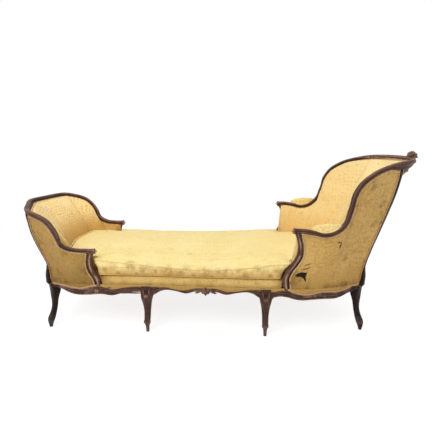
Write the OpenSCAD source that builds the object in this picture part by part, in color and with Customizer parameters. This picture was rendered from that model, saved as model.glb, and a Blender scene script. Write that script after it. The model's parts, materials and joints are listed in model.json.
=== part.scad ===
// Recamier: a low carved walnut day bed with a tall winged head end, a low
// gondola foot end and one long loose seat cushion.
// X runs along the length towards the head end, -Y is the show side, Z is up.
// The origin is on the floor under the middle of the overall box.

/* [Seat frame] */
// Length between the centres of the two middle legs
straight_l = 635; // [560:5:700]
// Length from a foot end middle leg to the outer face of the corner leg
foot_side_l = 539; // [480:1:600]
// Length from a head end middle leg to the outer face of the corner leg
head_side_l = 518; // [460:1:580]
// Half width of the frame at the foot end middle legs
foot_seat_half_w = 338; // [320:1:350]
// Half width of the frame at the head end middle legs
head_seat_half_w = 370; // [355:1:380]
// Half width of the frame at the foot end corner legs
foot_corner_half_w = 283; // [270:1:300]
// Half width of the frame at the head end corner legs
head_corner_half_w = 268; // [255:1:285]
// How far the foot end rail bows out past the corner legs
foot_end_bow = 60; // [45:1:75]
// How far the head end rail bows out past the corner legs
head_end_bow = 45; // [30:1:60]
// Height of the top of the seat rails
rail_top = 260; // [245:1:280]
// Thickness of the seat rails
rail_t = 50; // [44:1:54]
// How far the seat rails reach down beside a leg
rail_drop = 62; // [54:1:66]
// Depth of the rebate that the border cloth is tacked into
rebate = 8; // [6:1:10]
// How far the carved top line of a seat rail dips below its top
show_dip = 18; // [12:1:22]

/* [Legs] */
// Half depth of the square block at the top of a leg
block_half_d = 25; // [23:0.5:27]
// Half width of the square block at the top of a leg
block_half_w = 26; // [24:0.5:28]
// How far the foot of a middle leg kicks out from its block
mid_kick = 20; // [12:1:26]
// How far the foot of a corner leg kicks out from its block
corner_kick = 40; // [30:1:48]

/* [Backs and arms] */
// Rise of the foot end arms, at their lowest, above the edge of the cushion
foot_arm_rise = 62; // [50:1:75]
// Rise of the head end arms, at their lowest, above the edge of the cushion
head_arm_rise = 171; // [150:1:185]
// Height of the foot end crest
foot_crest_h = 668; // [640:1:690]
// Height of the head end crest without its carving
head_crest_h = 922; // [885:1:955]
// Half width across the foot end arms
foot_arm_half_w = 353; // [347:1:358]
// Half width across the head end arms
head_arm_half_w = 379; // [374:1:384]
// Half width across the foot end crest at the corner posts
foot_crest_half_w = 290; // [275:1:300]
// Half width across the head end crest at the corner posts
head_crest_half_w = 238; // [228:1:248]
// How far the foot end corner posts lean out
foot_rake = 89; // [75:1:105]
// How far the head end corner posts lean out
head_rake = 172; // [155:1:190]
// How far the foot end crest bows out past its corner posts
foot_crest_bow = 120; // [105:1:135]
// How far the head end crest bows out past its corner posts
head_crest_bow = 158; // [140:1:175]
// Width of the arm and crest rails
top_rail_w = 36; // [32:1:40]
// Thickness of the arm and crest rails
top_rail_h = 20; // [17:1:24]
// Height of the head crest rail at its middle
head_crest_t = 58; // [40:1:66]
// Half width of a corner post above the seat
post_half_w = 18; // [15:0.5:20]
// Depth of a corner post above the seat
post_d = 34; // [30:1:36]
// How far the top of the head crest overhangs its foot at the middle
head_flare = 38; // [30:1:60]
// How far the top of the foot crest overhangs its foot at the middle
foot_flare = 10; // [5:1:16]
// How far the back is hollowed below the middle of the head crest
head_hollow = 60; // [30:1:66]
// How far the back is hollowed below the middle of the foot crest
foot_hollow = 38; // [20:1:44]

/* [Arm supports] */
// Distance from the foot end middle leg to its arm support
foot_support_back = 258; // [235:1:270]
// Distance from the head end middle leg to its arm support
head_support_back = 108; // [95:1:120]
// How far the foot end arm support sweeps back
foot_support_sweep = 40; // [30:1:44]
// How far the head end arm support sweeps back
head_support_sweep = 61; // [50:1:66]
// Depth of the arm supports, front to inside
support_d = 30; // [26:1:32]
// Half width of the arm supports at the foot
support_half_w = 12; // [10:0.5:14]
// How far an arm tip starts behind its support's foot
arm_tip_back = 19; // [12:1:24]

/* [Upholstery] */
// Height of the sprung seat deck above the rails
deck_h = 51; // [40:1:60]
// Thickness of one layer of webbing
web_t = 1.5; // [1:0.1:2]
// Width of a webbing strap
web_w = 50; // [40:1:60]
// Thickness of the padding inside the backs at the seat
back_pad_t = 95; // [70:1:105]
// Thickness of the padding inside the arms at the seat
arm_pad_t = 55; // [40:1:65]
// Thickness of the padding where it meets the show wood
edge_pad_t = 7; // [5:0.5:10]
// Thickness of the outside cloth with its lining
cloth_t = 3; // [2:0.5:4]
// Height of the pads on the head end arms
manchette_h = 42; // [30:1:48]
// Thickness of the loose cushion at its welted edge, near its ends
cushion_h = 86; // [70:1:100]
// How much thinner the cushion is halfway along
cushion_sag = 29; // [12:1:34]
// Height of the cushion's crown above its edge
cushion_crown = 22; // [12:1:34]
// How far the cushion's boxing draws in between its welts
cushion_waist = 5; // [2:1:8]

/* [Carving] */
// Height of the carved spray on the head crest
spray_h = 31; // [25:1:38]
// Half width of the carved spray
spray_half_w = 44; // [34:1:52]
// How far the carved spray stands out past the head crest
spray_out = 6; // [3:1:10]
// Radius of the carved flower at the middle of each long side
flower_r = 23; // [18:1:26]
// Relief of that carved flower
flower_t = 9; // [6:1:12]

/* [Hidden] */

// Fits: wood seated on wood, cloth beside wood, and the loose cushion
wood_gap = 0.3;
cloth_gap = 1;
cushion_gap = 5;
rest_gap = 0.3;
// Least depth of the rebate at the highest points of the carved line
rebate_min = 1.5;
// Step along a wall used to find its direction
probe_share = 0.02;

// Colours read from the photograph
walnut = [0.30, 0.18, 0.13];
damask = [0.88, 0.76, 0.47];
damask_shade = [0.66, 0.52, 0.28];
beech = [0.62, 0.47, 0.31];
jute = [0.60, 0.50, 0.36];

// Places along the length, from the middle of the overall box
overall_l = foot_crest_bow + foot_rake + foot_side_l + straight_l
    + head_side_l + head_rake + head_crest_bow + spray_out;
foot_mid_x = -overall_l / 2 + foot_crest_bow + foot_rake + foot_side_l;
head_mid_x = foot_mid_x + straight_l;
deck_bottom = rail_top + 2 * web_t;
deck_top = deck_bottom + deck_h;
foot_arm_h = deck_top + cushion_h + foot_arm_rise;
head_arm_h = deck_top + cushion_h + head_arm_rise;

// A wall is the ring of arm, corner post and back at one end. It is drawn
// with x growing away from the middle of the seat, so the foot end is turned
// round when it is placed. Steps along it count from the arm support, 0, past
// the corner post to the middle of the back.

// Foot of the wall beyond the arm support: [along to the corner, out from the corner]
head_base_shares = [
    [0.087, 1.02], [0.186, 1.00], [0.297, 0.96], [0.408, 0.89], [0.507, 0.81], [0.594, 0.725],
    [0.670, 0.625], [0.738, 0.52], [0.801, 0.41], [0.865, 0.29], [1, 0]
];
foot_base_shares = [
    [0.14, 0.94], [0.27, 0.895], [0.39, 0.85], [0.50, 0.79], [0.60, 0.715],
    [0.70, 0.61], [0.80, 0.49], [1, 0]
];
// End rail: [share of the bow, share of the half width]
end_base_shares = [[0.36, 0.80], [0.81, 0.43], [1, 0]];
// Top line from the arm tip: [along to the post, out from the crest, up from the arm]
head_line_shares = [
    [0, 0.957, 0.056], [0.089, 0.986, 0.056], [0.187, 1, 0.034], [0.284, 1, 0],
    [0.385, 1, 0.045], [0.464, 0.957, 0.171], [0.503, 0.899, 0.356], [0.533, 0.855, 0.557],
    [0.607, 0.746, 0.728], [0.739, 0.536, 0.863], [0.885, 0.239, 0.941], [1, 0, 0.978]
];
foot_line_shares = [
    [0, 0.73, 0], [0.139, 0.68, 0], [0.292, 0.75, 0.02], [0.431, 0.92, 0.128],
    [0.491, 1, 0.327], [0.573, 0.9, 0.561], [0.689, 0.68, 0.766], [0.85, 0.37, 0.888],
    [1, 0, 0.956]
];
// Crest: [share of the bow, share of the half width, share of the rise]
head_crest_shares = [[0.41, 0.8, 0.993], [0.80, 0.435, 1], [1, 0, 1]];
foot_crest_shares = [[0.275, 0.851, 0.985], [0.65, 0.45, 1], [1, 0, 1]];
// Lean of the wall: [share of its height, share of its lean]
head_lean_shares = [
    [0, 0], [0.1, 0.03], [0.18, 0.1], [0.27, 0.2], [0.44, 0.415], [0.61, 0.635], [0.8, 0.86], [1, 1]
];
foot_lean_shares = [
    [0, 0], [0.14, 0.01], [0.28, 0.09], [0.45, 0.38], [0.59, 0.62], [0.73, 0.81], [0.9, 0.94], [1, 1]
];
// Swelling of the top rail: [steps past the corner post, share of the swelling]
swell_shares = [[-1.5, 0], [-1, 0.1], [-0.5, 0.45], [0, 0.5], [0.5, 0.55], [1, 0.85], [2, 0.96], [3, 1]];
// Hollow of the back: [share of its height, share of the hollow]
hollow_shares = [[0, 0], [0.15, 0.02], [0.3, 0.45], [0.55, 0.85], [0.75, 1], [0.88, 0.9], [1, 0]];
hollow_spread = 0.35;
// Arm supports: [share of the height, share of the sweep, share of the foot's half width]
head_support_shares = [
    [0, 0, 1], [0.09, -0.11, 1.2], [0.21, -0.13, 1.15], [0.33, 0.11, 1.2], [0.44, 0.51, 1.15],
    [0.58, 0.90, 1.1], [0.70, 1, 1], [0.82, 0.95, 0.92], [0.93, 0.80, 0.98], [1, 0.69, 1.25]
];
foot_support_shares = [
    [0, 0, 1], [0.10, 0, 1], [0.23, 0.18, 1.15], [0.40, 0.65, 1.15], [0.58, 0.95, 1.05],
    [0.77, 1, 1], [0.92, 0.88, 1.05], [1, 0.75, 1.3]
];
// Legs from the floor: [height, kick, half depth, half width, roundness]
mid_leg_shares = [
    [0, 1, 0.36, 0.36, 0.8], [0.14, 1, 0.40, 0.38, 0.8], [0.165, 1, 0.46, 0.42, 0.8],
    [0.20, 1, 0.66, 0.62, 0.8], [0.26, 0.85, 0.70, 0.64, 0.8], [0.34, 0.5, 0.62, 0.62, 0.8],
    [0.42, 0.25, 0.60, 0.66, 0.75], [0.50, 0.15, 0.68, 0.75, 0.7], [0.60, 0.22, 0.88, 0.87, 0.6],
    [0.68, 0.32, 1.04, 0.96, 0.5], [0.74, 0.28, 1.06, 1, 0.35], [0.84, 0.06, 1, 1, 0.2], [1, 0, 1, 1, 0.15]
];
corner_leg_shares = [
    [0, 1, 0.37, 0.37, 0.8], [0.14, 1, 0.39, 0.39, 0.8], [0.165, 1, 0.46, 0.46, 0.8],
    [0.21, 0.98, 0.66, 0.64, 0.8], [0.26, 0.85, 0.68, 0.66, 0.8], [0.33, 0.55, 0.58, 0.58, 0.8],
    [0.42, 0.22, 0.52, 0.54, 0.75], [0.50, 0.12, 0.58, 0.60, 0.7], [0.60, 0.06, 0.76, 0.78, 0.6],
    [0.70, 0.02, 0.98, 0.96, 0.4], [0.76, 0.08, 1, 1, 0.2], [0.86, 0.38, 1, 1, 0.15]
];
// Corner posts from the rail top: [share of the deck height, half width up to the block, bulge]
knuckle_shares = [[0, 1, 0.45], [0.5, 0.78, 0.8], [1, 0.42, 1], [1.5, 0.12, 0.5], [2, 0, 0]];
// Height of the knuckle above the rail, in deck heights
knee_share = 2;
// Carved lower edge of a long rail: [share of its length, share of the drop]
centre_under_shares = [
    [0, 1], [0.05, 0.72], [0.11, 0.39], [0.17, 0.27], [0.25, 0.37], [0.33, 0.55], [0.41, 0.35],
    [0.46, 0.40], [0.5, 0.61], [0.54, 0.40], [0.59, 0.35], [0.67, 0.55], [0.75, 0.37], [0.83, 0.27],
    [0.89, 0.39], [0.95, 0.72], [1, 1]
];
foot_under_shares = [
    [0, 0.96], [0.05, 0.60], [0.12, 0.52], [0.23, 0.62], [0.34, 0.87], [0.45, 0.76], [0.59, 0.87],
    [0.70, 0.89], [0.79, 0.74], [0.88, 0.42], [1, 0.30]
];
head_under_shares = [
    [0, 1], [0.06, 0.75], [0.14, 0.58], [0.22, 0.66], [0.29, 0.82], [0.37, 0.92], [0.47, 0.88],
    [0.58, 0.88], [0.66, 0.92], [0.75, 0.88], [0.85, 0.62], [1, 0.34]
];
end_under_shares = [[0, 0.30], [0.25, 0.42], [0.5, 0.6], [0.75, 0.42], [1, 0.30]];
// Carved top line of a long rail: [share of its length, share of the dip]
centre_show_shares = [
    [0, 0.5], [0.07, 0.15], [0.16, 0.1], [0.25, 0.75], [0.33, 0.95], [0.41, 0.25], [0.5, 0],
    [0.59, 0.25], [0.67, 0.95], [0.75, 0.75], [0.84, 0.1], [0.93, 0.15], [1, 0.5]
];
foot_show_shares = [
    [0, 0.1], [0.11, 0.15], [0.23, 0.55], [0.34, 1.1], [0.42, 0.5], [0.5, 0], [0.58, 0.6],
    [0.67, 1.2], [0.78, 0.75], [0.89, 0.4], [1, 0.4]
];
head_show_shares = [
    [0, 0.9], [0.1, 0.5], [0.2, 0], [0.29, 0.9], [0.37, 1.5], [0.46, 1.4], [0.55, 0.9],
    [0.64, 1.0], [0.74, 1.2], [0.83, 0.7], [0.92, 0], [1, 0]
];
end_show_shares = [[0, 0], [0.5, 0.3], [1, 0]];

// Curves
function blend(a, b, f) = a + (b - a) * f;
function hold(list, i) = list[max(0, min(len(list) - 1, i))];
function cubic(a, b, c, d, f) =
    (2 * b + (c - a) * f + (2 * a - 5 * b + 4 * c - d) * f * f + (3 * b - a - 3 * c + d) * f * f * f) / 2;
function spline(list, t) =
    let (i = max(0, min(len(list) - 2, floor(t))))
    cubic(hold(list, i - 1), hold(list, i), hold(list, i + 1), hold(list, i + 2), t - i);
// Value read from a table whose first column is the place, as one smooth curve
function row_at(table, place, i = 0) =
    i >= len(table) - 2 || place < table[i + 1][0] ? i : row_at(table, place, i + 1);
function read(table, place) =
    let (i = row_at(table, place), f = (place - table[i][0]) / (table[i + 1][0] - table[i][0]))
    spline(table, i + max(0, min(1, f)));
function flip_y(p) = len(p) == 3 ? [p[0], -p[1], p[2]] : [p[0], -p[1]];
// Near side points followed by their mirror images, met at the middle
function both_sides(points) = concat(points, [for (i = [len(points) - 2:-1:0]) flip_y(points[i])]);
function reversed(list) = [for (i = [len(list) - 1:-1:0]) list[i]];
function flat(p) = [p[0], p[1]];
function unit(v) = v / norm(v);

// Walls
function wall_base(mid_x, side_l, seat_half, corner_half, bow, support_back, shares) =
    let (corner_x = mid_x + side_l, support_x = mid_x + support_back)
    concat(
        [[mid_x, -seat_half], [(mid_x + support_x) / 2, -seat_half], [support_x, -seat_half]],
        [for (s = shares) [blend(support_x, corner_x, s[0]), -blend(corner_half, seat_half, s[1])]],
        [for (s = end_base_shares) [corner_x + bow * s[0], -corner_half * s[1]]]
    );
function wall_line(tip_x, post_x, arm_half, crest_half, arm_h, crest_h, bow, shares, crest_shares) =
    concat(
        [for (s = shares) [
            blend(tip_x, post_x, s[0]), -blend(crest_half, arm_half, s[1]), blend(arm_h, crest_h, s[2])
        ]],
        [for (s = crest_shares) [post_x + bow * s[0], -crest_half * s[1], blend(arm_h, crest_h, s[2])]]
    );

head_away_x = head_mid_x;
foot_away_x = -foot_mid_x;
head_wall = [
    both_sides(wall_base(head_away_x, head_side_l, head_seat_half_w, head_corner_half_w, head_end_bow,
        head_support_back, head_base_shares)),
    both_sides(wall_line(head_away_x + head_support_back + arm_tip_back,
        head_away_x + head_side_l + head_rake, head_arm_half_w, head_crest_half_w, head_arm_h,
        head_crest_h, head_crest_bow, head_line_shares, head_crest_shares)),
    head_lean_shares, len(head_line_shares) - 1, head_flare, head_support_shares, head_support_sweep,
    head_hollow, head_crest_t
];
foot_wall = [
    both_sides(wall_base(foot_away_x, foot_side_l, foot_seat_half_w, foot_corner_half_w, foot_end_bow,
        foot_support_back, foot_base_shares)),
    both_sides(wall_line(foot_away_x + foot_support_back + arm_tip_back / 2,
        foot_away_x + foot_side_l + foot_rake, foot_arm_half_w, foot_crest_half_w, foot_arm_h,
        foot_crest_h, foot_crest_bow, foot_line_shares, foot_crest_shares)),
    foot_lean_shares, len(foot_line_shares) - 1, foot_flare, foot_support_shares, foot_support_sweep,
    foot_hollow, top_rail_h
];
// The wall's base list starts at the middle leg, two steps before the support
lead = 2;
function corner_step(wall) = wall[3];
function middle_step(wall) = (len(wall[1]) - 1) / 2;
function last_step(wall) = len(wall[1]) - 1;
function base_at(wall, t) = spline(wall[0], t + lead);
function line_at(wall, t) = spline(wall[1], t);
function base_dir(wall, t) = unit(base_at(wall, t + probe_share) - base_at(wall, t - probe_share));
function line_dir(wall, t) = unit(line_at(wall, t + probe_share) - line_at(wall, t - probe_share));
// Outward direction in plan, square to a direction of travel
function outward(d) = unit([d[1], -d[0]]);
function base_out(wall, t) = outward(base_dir(wall, t));
function line_out(wall, t) = outward(flat(line_dir(wall, t)));
function line_up(wall, t) =
    let (n = line_out(wall, t))
    cross([n[0], n[1], 0], line_dir(wall, t));
// Nearness to the middle of the back: none on the arms and posts, all at the middle
function middle_share(wall, t) =
    let (c = corner_step(wall), m = middle_step(wall))
    max(0, min(1, (m - abs(t - m) - c) / (m - c)));
flare_spread = 0.7;
flare_power = 3;
function flare_at(wall, t) = wall[4] * middle_share(wall, t) ^ flare_spread;
function hollow_at(wall, t, v) = wall[7] * middle_share(wall, t) ^ hollow_spread * read(hollow_shares, v)[1];
// Height of the arm and crest rails at a step: it swells over the corner post
function line_h(wall, t) =
    let (past = (middle_step(wall) - abs(t - middle_step(wall))) - corner_step(wall))
    blend(top_rail_h, wall[8], past <= swell_shares[0][0] ? 0 : read(swell_shares, past)[1]);
// Outer face of the wall at a step and a height
function wall_top(wall, t, drop) =
    let (
        p = line_at(wall, t), n = line_out(wall, t), u = line_up(wall, t),
        f = flare_at(wall, t) * min(1, drop / line_h(wall, t)) ^ flare_power
    )
    p - f * [n[0], n[1], 0] - drop * u;
function wall_at(wall, t, z, drop = 0) =
    let (
        a = base_at(wall, t), b = wall_top(wall, t, drop),
        v = max(0, min(1, (z - rail_top) / (b[2] - rail_top))), lean = read(wall[2], v)[1]
    )
    blend(a, flat(b), lean) - hollow_at(wall, t, v) * line_out(wall, t);
function wall_out(wall, t, z) =
    let (v = (z - rail_top) / (line_at(wall, t)[2] - rail_top))
    unit(blend(base_out(wall, t), line_out(wall, t), max(0, min(1, v))));
function to_3d(p, z) = [p[0], p[1], z];

// Steps along a wall from one place to another, with every half step between
half = 0.5;
step_ease = 0.1;
function steps(a, b) =
    concat([a], [for (k = [ceil((a + step_ease) / half):floor((b - step_ease) / half)]) k * half], [b]);

// A solid through rings of points. Its ends are closed by a fan, or by a strip
// laddered from the ring's first half to its second.
module loft(rings, strip = false) {
    n = len(rings[0]);
    m = len(rings);
    last = (m - 1) * n;
    sides = [for (k = [0:m - 2], i = [0:n - 1])
        let (a = k * n + i, b = k * n + (i + 1) % n)
        each [[a, b, b + n], [a, b + n, a + n]]];
    cap = strip
        ? [for (i = [0:n / 2 - 2]) let (j = n - 1 - i) each [[i, i + 1, j], [i + 1, j - 1, j]]]
        : [for (i = [1:n - 2]) [0, i, i + 1]];
    finish = [for (f = cap) [last + f[0], last + f[1], last + f[2]]];
    polyhedron([for (r = rings) each r], concat(sides, [for (f = cap) reversed(f)], finish), convexity = 8);
}

// Placing: walls are drawn for the near side, pointing away from the middle
module at_end(foot) {
    if (foot) mirror([1, 0, 0]) children();
    else children();
}
module at_side(far) {
    if (far) mirror([0, 1, 0]) children();
    else children();
}

// Upright pieces: a rounded square ring, square to the outward direction
function upright_ring(centre, out, half_d, half_w, round_share, z) =
    let (along = [-out[1], out[0]], r = round_share * min(half_d, half_w))
    [for (c = [0:3], a = [0, 45, 90])
        let (
            turn = a + 90 * c,
            s = (c == 0 || c == 3 ? 1 : -1) * (half_w - r) + r * cos(turn),
            n = (c < 2 ? 1 : -1) * (half_d - r) + r * sin(turn)
        )
        to_3d(centre + s * along + n * out, z)];

function leg_rings(shares, face, out, kick) =
    [for (s = shares)
        upright_ring(face + (kick * s[1] - block_half_d) * out, out,
            block_half_d * s[2], block_half_w * s[3], s[4], rail_top * s[0])];

// Frame of a middle leg: its outer face and outward direction
centre_points = [
    [-foot_away_x - foot_support_back, -foot_seat_half_w], [-foot_away_x, -foot_seat_half_w],
    [(head_away_x - foot_away_x) / 2, -(foot_seat_half_w + head_seat_half_w) / 2],
    [head_away_x, -head_seat_half_w], [head_away_x + head_support_back, -head_seat_half_w]
];
function centre_at(t) = spline(centre_points, t);
function centre_out(t) = outward(unit(centre_at(t + probe_share) - centre_at(t - probe_share)));
foot_leg_step = 1;
head_leg_step = 3;

module mid_leg(leg_step) {
    color(walnut)
    loft(leg_rings(mid_leg_shares, centre_at(leg_step), centre_out(leg_step), mid_kick));
}

// Corner post: half width and bulge above the rail, by height
knuckle_bulge = 15;
function post_half_at(z) =
    blend(post_half_w, block_half_w, max(0, read(knuckle_shares, (z - rail_top) / deck_h)[1]));
function post_bulge_at(z) = knuckle_bulge * max(0, read(knuckle_shares, (z - rail_top) / deck_h)[2]);
function post_depth_at(z) =
    blend(post_d, 2 * block_half_d, max(0, read(knuckle_shares, (z - rail_top) / deck_h)[1]) ^ 2);
// Room above a corner post for the curve of its rail
post_ease = 2.2;
post_round_share = 0.25;
post_rings = 4;
function post_ring(wall, z) =
    let (
        c = corner_step(wall), out = wall_out(wall, c, z), bulge = post_bulge_at(z),
        depth = post_depth_at(z),
        centre = wall_at(wall, c, z, cloth_drop(wall, c)) + (bulge - depth) / 2 * out
    )
    upright_ring(centre, out, (depth + bulge) / 2, post_half_at(z), post_round_share, z);
// The top of a corner post slopes with the rail that it carries
function rail_slope(wall, t) = let (d = line_dir(wall, t)) d[2] / norm(flat(d));
function post_top(wall) =
    let (c = corner_step(wall), lean = sqrt(1 + rail_slope(wall, c) ^ 2))
    line_at(wall, c)[2] - line_h(wall, c) * lean - post_ease;
function post_top_ring(wall) =
    let (c = corner_step(wall), at = flat(line_at(wall, c)), d = unit(flat(line_dir(wall, c))))
    [for (p = post_ring(wall, post_top(wall)))
        [p[0], p[1], p[2] + rail_slope(wall, c) * ((flat(p) - at) * d)]];

module corner_leg(wall) {
    c = corner_step(wall);
    knuckle = [for (s = knuckle_shares) rail_top + s[0] * deck_h];
    knee = rail_top + knee_share * deck_h;
    top = post_top(wall);
    heights = concat(knuckle, [for (i = [1:post_rings - 1]) blend(knee, top, i / post_rings)]);
    color(walnut)
    loft(concat(
        leg_rings(corner_leg_shares, base_at(wall, c), base_out(wall, c), corner_kick),
        [for (z = heights) post_ring(wall, z)],
        [post_top_ring(wall)]
    ));
}

// Seat rails: moulded outside, square inside, thinner where they meet a corner leg
rail_bead = 2;
rail_soft = 5;
shoulder_t = 28;
bend_t = 16;
function rail_ring(face, out, under, show, depth = rail_t) =
    let (
        low = rail_top - rail_drop * under,
        line = min(rail_top - rebate_min, rail_top - show_dip * show),
        mid = (low + line) / 2
    )
    [for (p = [
        [-rebate, line], [-rebate, rail_top], [-depth, rail_top], [-depth, low],
        [-rail_soft, low], [-rail_bead, low + rail_bead], [-rail_bead, low + rail_soft],
        [-rail_soft, mid], [-rail_bead, line - rail_soft], [-rail_soft, line]
    ]) to_3d(face + p[0] * out, p[1])];
// Ring against the side of a leg, at a distance along from the leg's middle
function rail_end(face, out, along, under, show, depth = rail_t) =
    rail_ring(face + along * [-out[1], out[0]], out, under, show, depth);
rail_steps = 17;
centre_steps = 24;
end_steps = 12;
leg_clear = block_half_w + wood_gap;
// Distances from a leg's middle to the first free ring of a rail
rail_lead = 42;
bend_lead = 44;
corner_lead = 72;
end_lead = 64;
centre_leg_share = 0.04;
end_leg_share = 0.1;

module centre_rail() {
    a = foot_leg_step;
    b = head_leg_step;
    inset = rail_lead / (straight_l / 2);
    color(walnut)
    loft(concat(
        [rail_end(centre_at(a), centre_out(a), leg_clear,
            read(centre_under_shares, 0)[1], read(centre_show_shares, 0)[1])],
        [for (i = [0:centre_steps])
            let (
                f = i / centre_steps, t = blend(a + inset, b - inset, f),
                s = blend(centre_leg_share, 1 - centre_leg_share, f)
            )
            rail_ring(centre_at(t), centre_out(t), read(centre_under_shares, s)[1],
                read(centre_show_shares, s)[1])],
        [rail_end(centre_at(b), centre_out(b), -leg_clear,
            read(centre_under_shares, 1)[1], read(centre_show_shares, 1)[1])]
    ));
}

// Share of a side rail's length that a step along its wall has reached
function side_share(wall, t) =
    let (a = base_at(wall, -lead)[0], b = base_at(wall, corner_step(wall))[0])
    (base_at(wall, t)[0] - a) / (b - a);
// Length of the wall's foot over the step that starts at t
function step_l(wall, t) = norm(base_at(wall, t + 1) - base_at(wall, t));

module side_rail(wall, leg_step, turned, under, show) {
    c = corner_step(wall);
    leg_out = turned ? [-centre_out(leg_step)[0], centre_out(leg_step)[1]] : centre_out(leg_step);
    first = rail_lead / step_l(wall, -lead) - lead;
    final = c - corner_lead / step_l(wall, c - 1);
    bend = c - bend_lead / step_l(wall, c - 1);
    color(walnut)
    loft(concat(
        [rail_end(base_at(wall, -lead), leg_out, leg_clear, read(under, 0)[1], read(show, 0)[1])],
        [for (i = [0:rail_steps - 1])
            let (t = blend(first, final, i / (rail_steps - 1)), s = side_share(wall, t))
            rail_ring(base_at(wall, t), base_out(wall, t), read(under, s)[1], read(show, s)[1])],
        [rail_ring(base_at(wall, bend), base_out(wall, bend), read(under, side_share(wall, bend))[1],
            read(show, side_share(wall, bend))[1], bend_t)],
        [rail_end(base_at(wall, c), base_out(wall, c), -leg_clear, read(under, 1)[1], read(show, 1)[1],
            shoulder_t)]
    ));
}

module end_rail(wall) {
    c = corner_step(wall);
    d = last_step(wall) - c;
    apart = end_lead / step_l(wall, c);
    low = read(end_under_shares, 0)[1];
    line = read(end_show_shares, 0)[1];
    color(walnut)
    loft(concat(
        [rail_end(base_at(wall, c), base_out(wall, c), leg_clear, low, line, shoulder_t)],
        [for (i = [0:end_steps])
            let (
                f = i / end_steps, t = blend(c + apart, d - apart, f),
                s = blend(end_leg_share, 1 - end_leg_share, f)
            )
            rail_ring(base_at(wall, t), base_out(wall, t), read(end_under_shares, s)[1],
                read(end_show_shares, s)[1])],
        [rail_end(base_at(wall, d), base_out(wall, d), -leg_clear, low, line, shoulder_t)]
    ));
}

// Cross braces between the middle legs
brace_h = 42;
brace_half_w = 20;
module cross_brace(leg_step) {
    face = centre_at(leg_step);
    out = centre_out(leg_step);
    along = [-out[1], out[0]];
    back = face - (2 * block_half_d + wood_gap) * out;
    near = [back - brace_half_w * along, back + brace_half_w * along];
    color(beech)
    translate([0, 0, rail_top - brace_h])
    linear_extrude(brace_h)
    polygon([near[0], near[1], flip_y(near[1]), flip_y(near[0])]);
}

// Glued blocks in the corners under the deck
corner_block_h = 38;
block_side_steps = 1.6;
block_end_steps = 0.8;
block_ease = 7;
function rail_inside(wall, t) = base_at(wall, t) - (rail_t + block_ease) * base_out(wall, t);
module corner_block(wall) {
    c = corner_step(wall);
    out = base_out(wall, c);
    along = [-out[1], out[0]];
    behind = base_at(wall, c) - (2 * block_half_d + wood_gap) * out;
    color(beech)
    translate([0, 0, rail_top - corner_block_h])
    linear_extrude(corner_block_h)
    polygon([
        rail_inside(wall, c - block_side_steps), behind - block_half_w * along,
        behind + block_half_w * along, rail_inside(wall, c + block_end_steps)
    ]);
}
module corner_blocks(wall) {
    corner_block(wall);
    at_side(true) corner_block(wall);
}

// Arm supports
function support_x(wall, share) = wall[6] * read(wall[5], share)[1];
function support_half(wall, share) = support_half_w * read(wall[5], share)[2];
support_rings = 11;
support_inset = 2;
support_round_share = 0.55;
// Room for the dip of the arm over its support
arm_dip = 0.5;
function support_top(wall) = line_at(wall, 0)[2] - top_rail_h - arm_dip;
function support_face(wall, share) = blend(base_at(wall, 0)[1], line_at(wall, 0.5)[1], share);
module arm_support(wall) {
    foot = base_at(wall, 0);
    top = support_top(wall);
    color(walnut)
    loft([for (i = [0:support_rings])
        let (s = i / support_rings)
        upright_ring([foot[0] + support_x(wall, s), support_face(wall, s) + support_inset + support_d / 2],
            [0, -1], support_d / 2, support_half(wall, s), support_round_share, blend(rail_top, top, s))]);
}

// Arm, wing and crest rails: a moulded section carried along the top line
section_shares = [
    [-0.5, -1], [-0.12, -1], [-0.02, -0.82], [-0.09, -0.52], [0, -0.36],
    [-0.03, -0.12], [-0.2, 0], [-0.8, 0], [-1, -0.3], [-0.95, -0.9], [-0.85, -1]
];
section_mid_share = -0.5;
function rail_section(wall, t, size) =
    let (
        p = line_at(wall, t), n2 = line_out(wall, t), n = [n2[0], n2[1], 0], u = line_up(wall, t),
        h = line_h(wall, t), f = flare_at(wall, t)
    )
    [for (s = section_shares)
        p + (blend(section_mid_share, s[0], size) * top_rail_w - f * abs(s[1]) ^ flare_power) * n
            + blend(section_mid_share, s[1], size) * h * u];
// Rounded tip of an arm: [step, share of the section]
arm_tip_shares = [[0, 0.35], [0.06, 0.8], [0.18, 1]];
module arm_rail(wall) {
    color(walnut)
    loft(concat(
        [for (s = arm_tip_shares) rail_section(wall, s[0], s[1])],
        [for (t = steps(half, corner_step(wall))) rail_section(wall, t, 1)]
    ));
}
module crest_rail(wall) {
    c = corner_step(wall);
    color(walnut)
    loft([for (t = steps(c, last_step(wall) - c)) rail_section(wall, t, 1)]);
}

// Carved spray standing on the middle of the head crest
spray_lobes = 7;
spray_sides = 20;
// Spray from its foot: [share of the height, of the half width, of the depth]
spray_rise_shares = [
    [0, 0.55, 0.5], [0.2, 0.85, 0.9], [0.45, 1, 1], [0.7, 0.85, 0.9], [0.88, 0.55, 0.6], [1, 0.2, 0.25]
];
spray_full_share = 0.45;
spray_lobe_share = 0.12;
spray_half_d = 17;
module crest_spray() {
    top = line_at(head_wall, middle_step(head_wall));
    color(walnut)
    loft([for (s = spray_rise_shares)
        let (
            d = spray_half_d * s[2], w = spray_half_w * s[1],
            x = blend(top[0] - top_rail_w / 2, top[0] + spray_out - spray_half_d,
                min(1, s[0] / spray_full_share))
        )
        [for (i = [0:spray_sides - 1])
            let (a = 360 * i / spray_sides, r = 1 - spray_lobe_share * (1 - abs(cos(a * spray_lobes / 2))))
            [x + d * sin(a), w * r * cos(a), top[2] + 2 * wood_gap + spray_h * s[0]]]
    ]);
}

// Carved flower on the face of each long side
flower_petals = 6;
flower_sides = 24;
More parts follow.
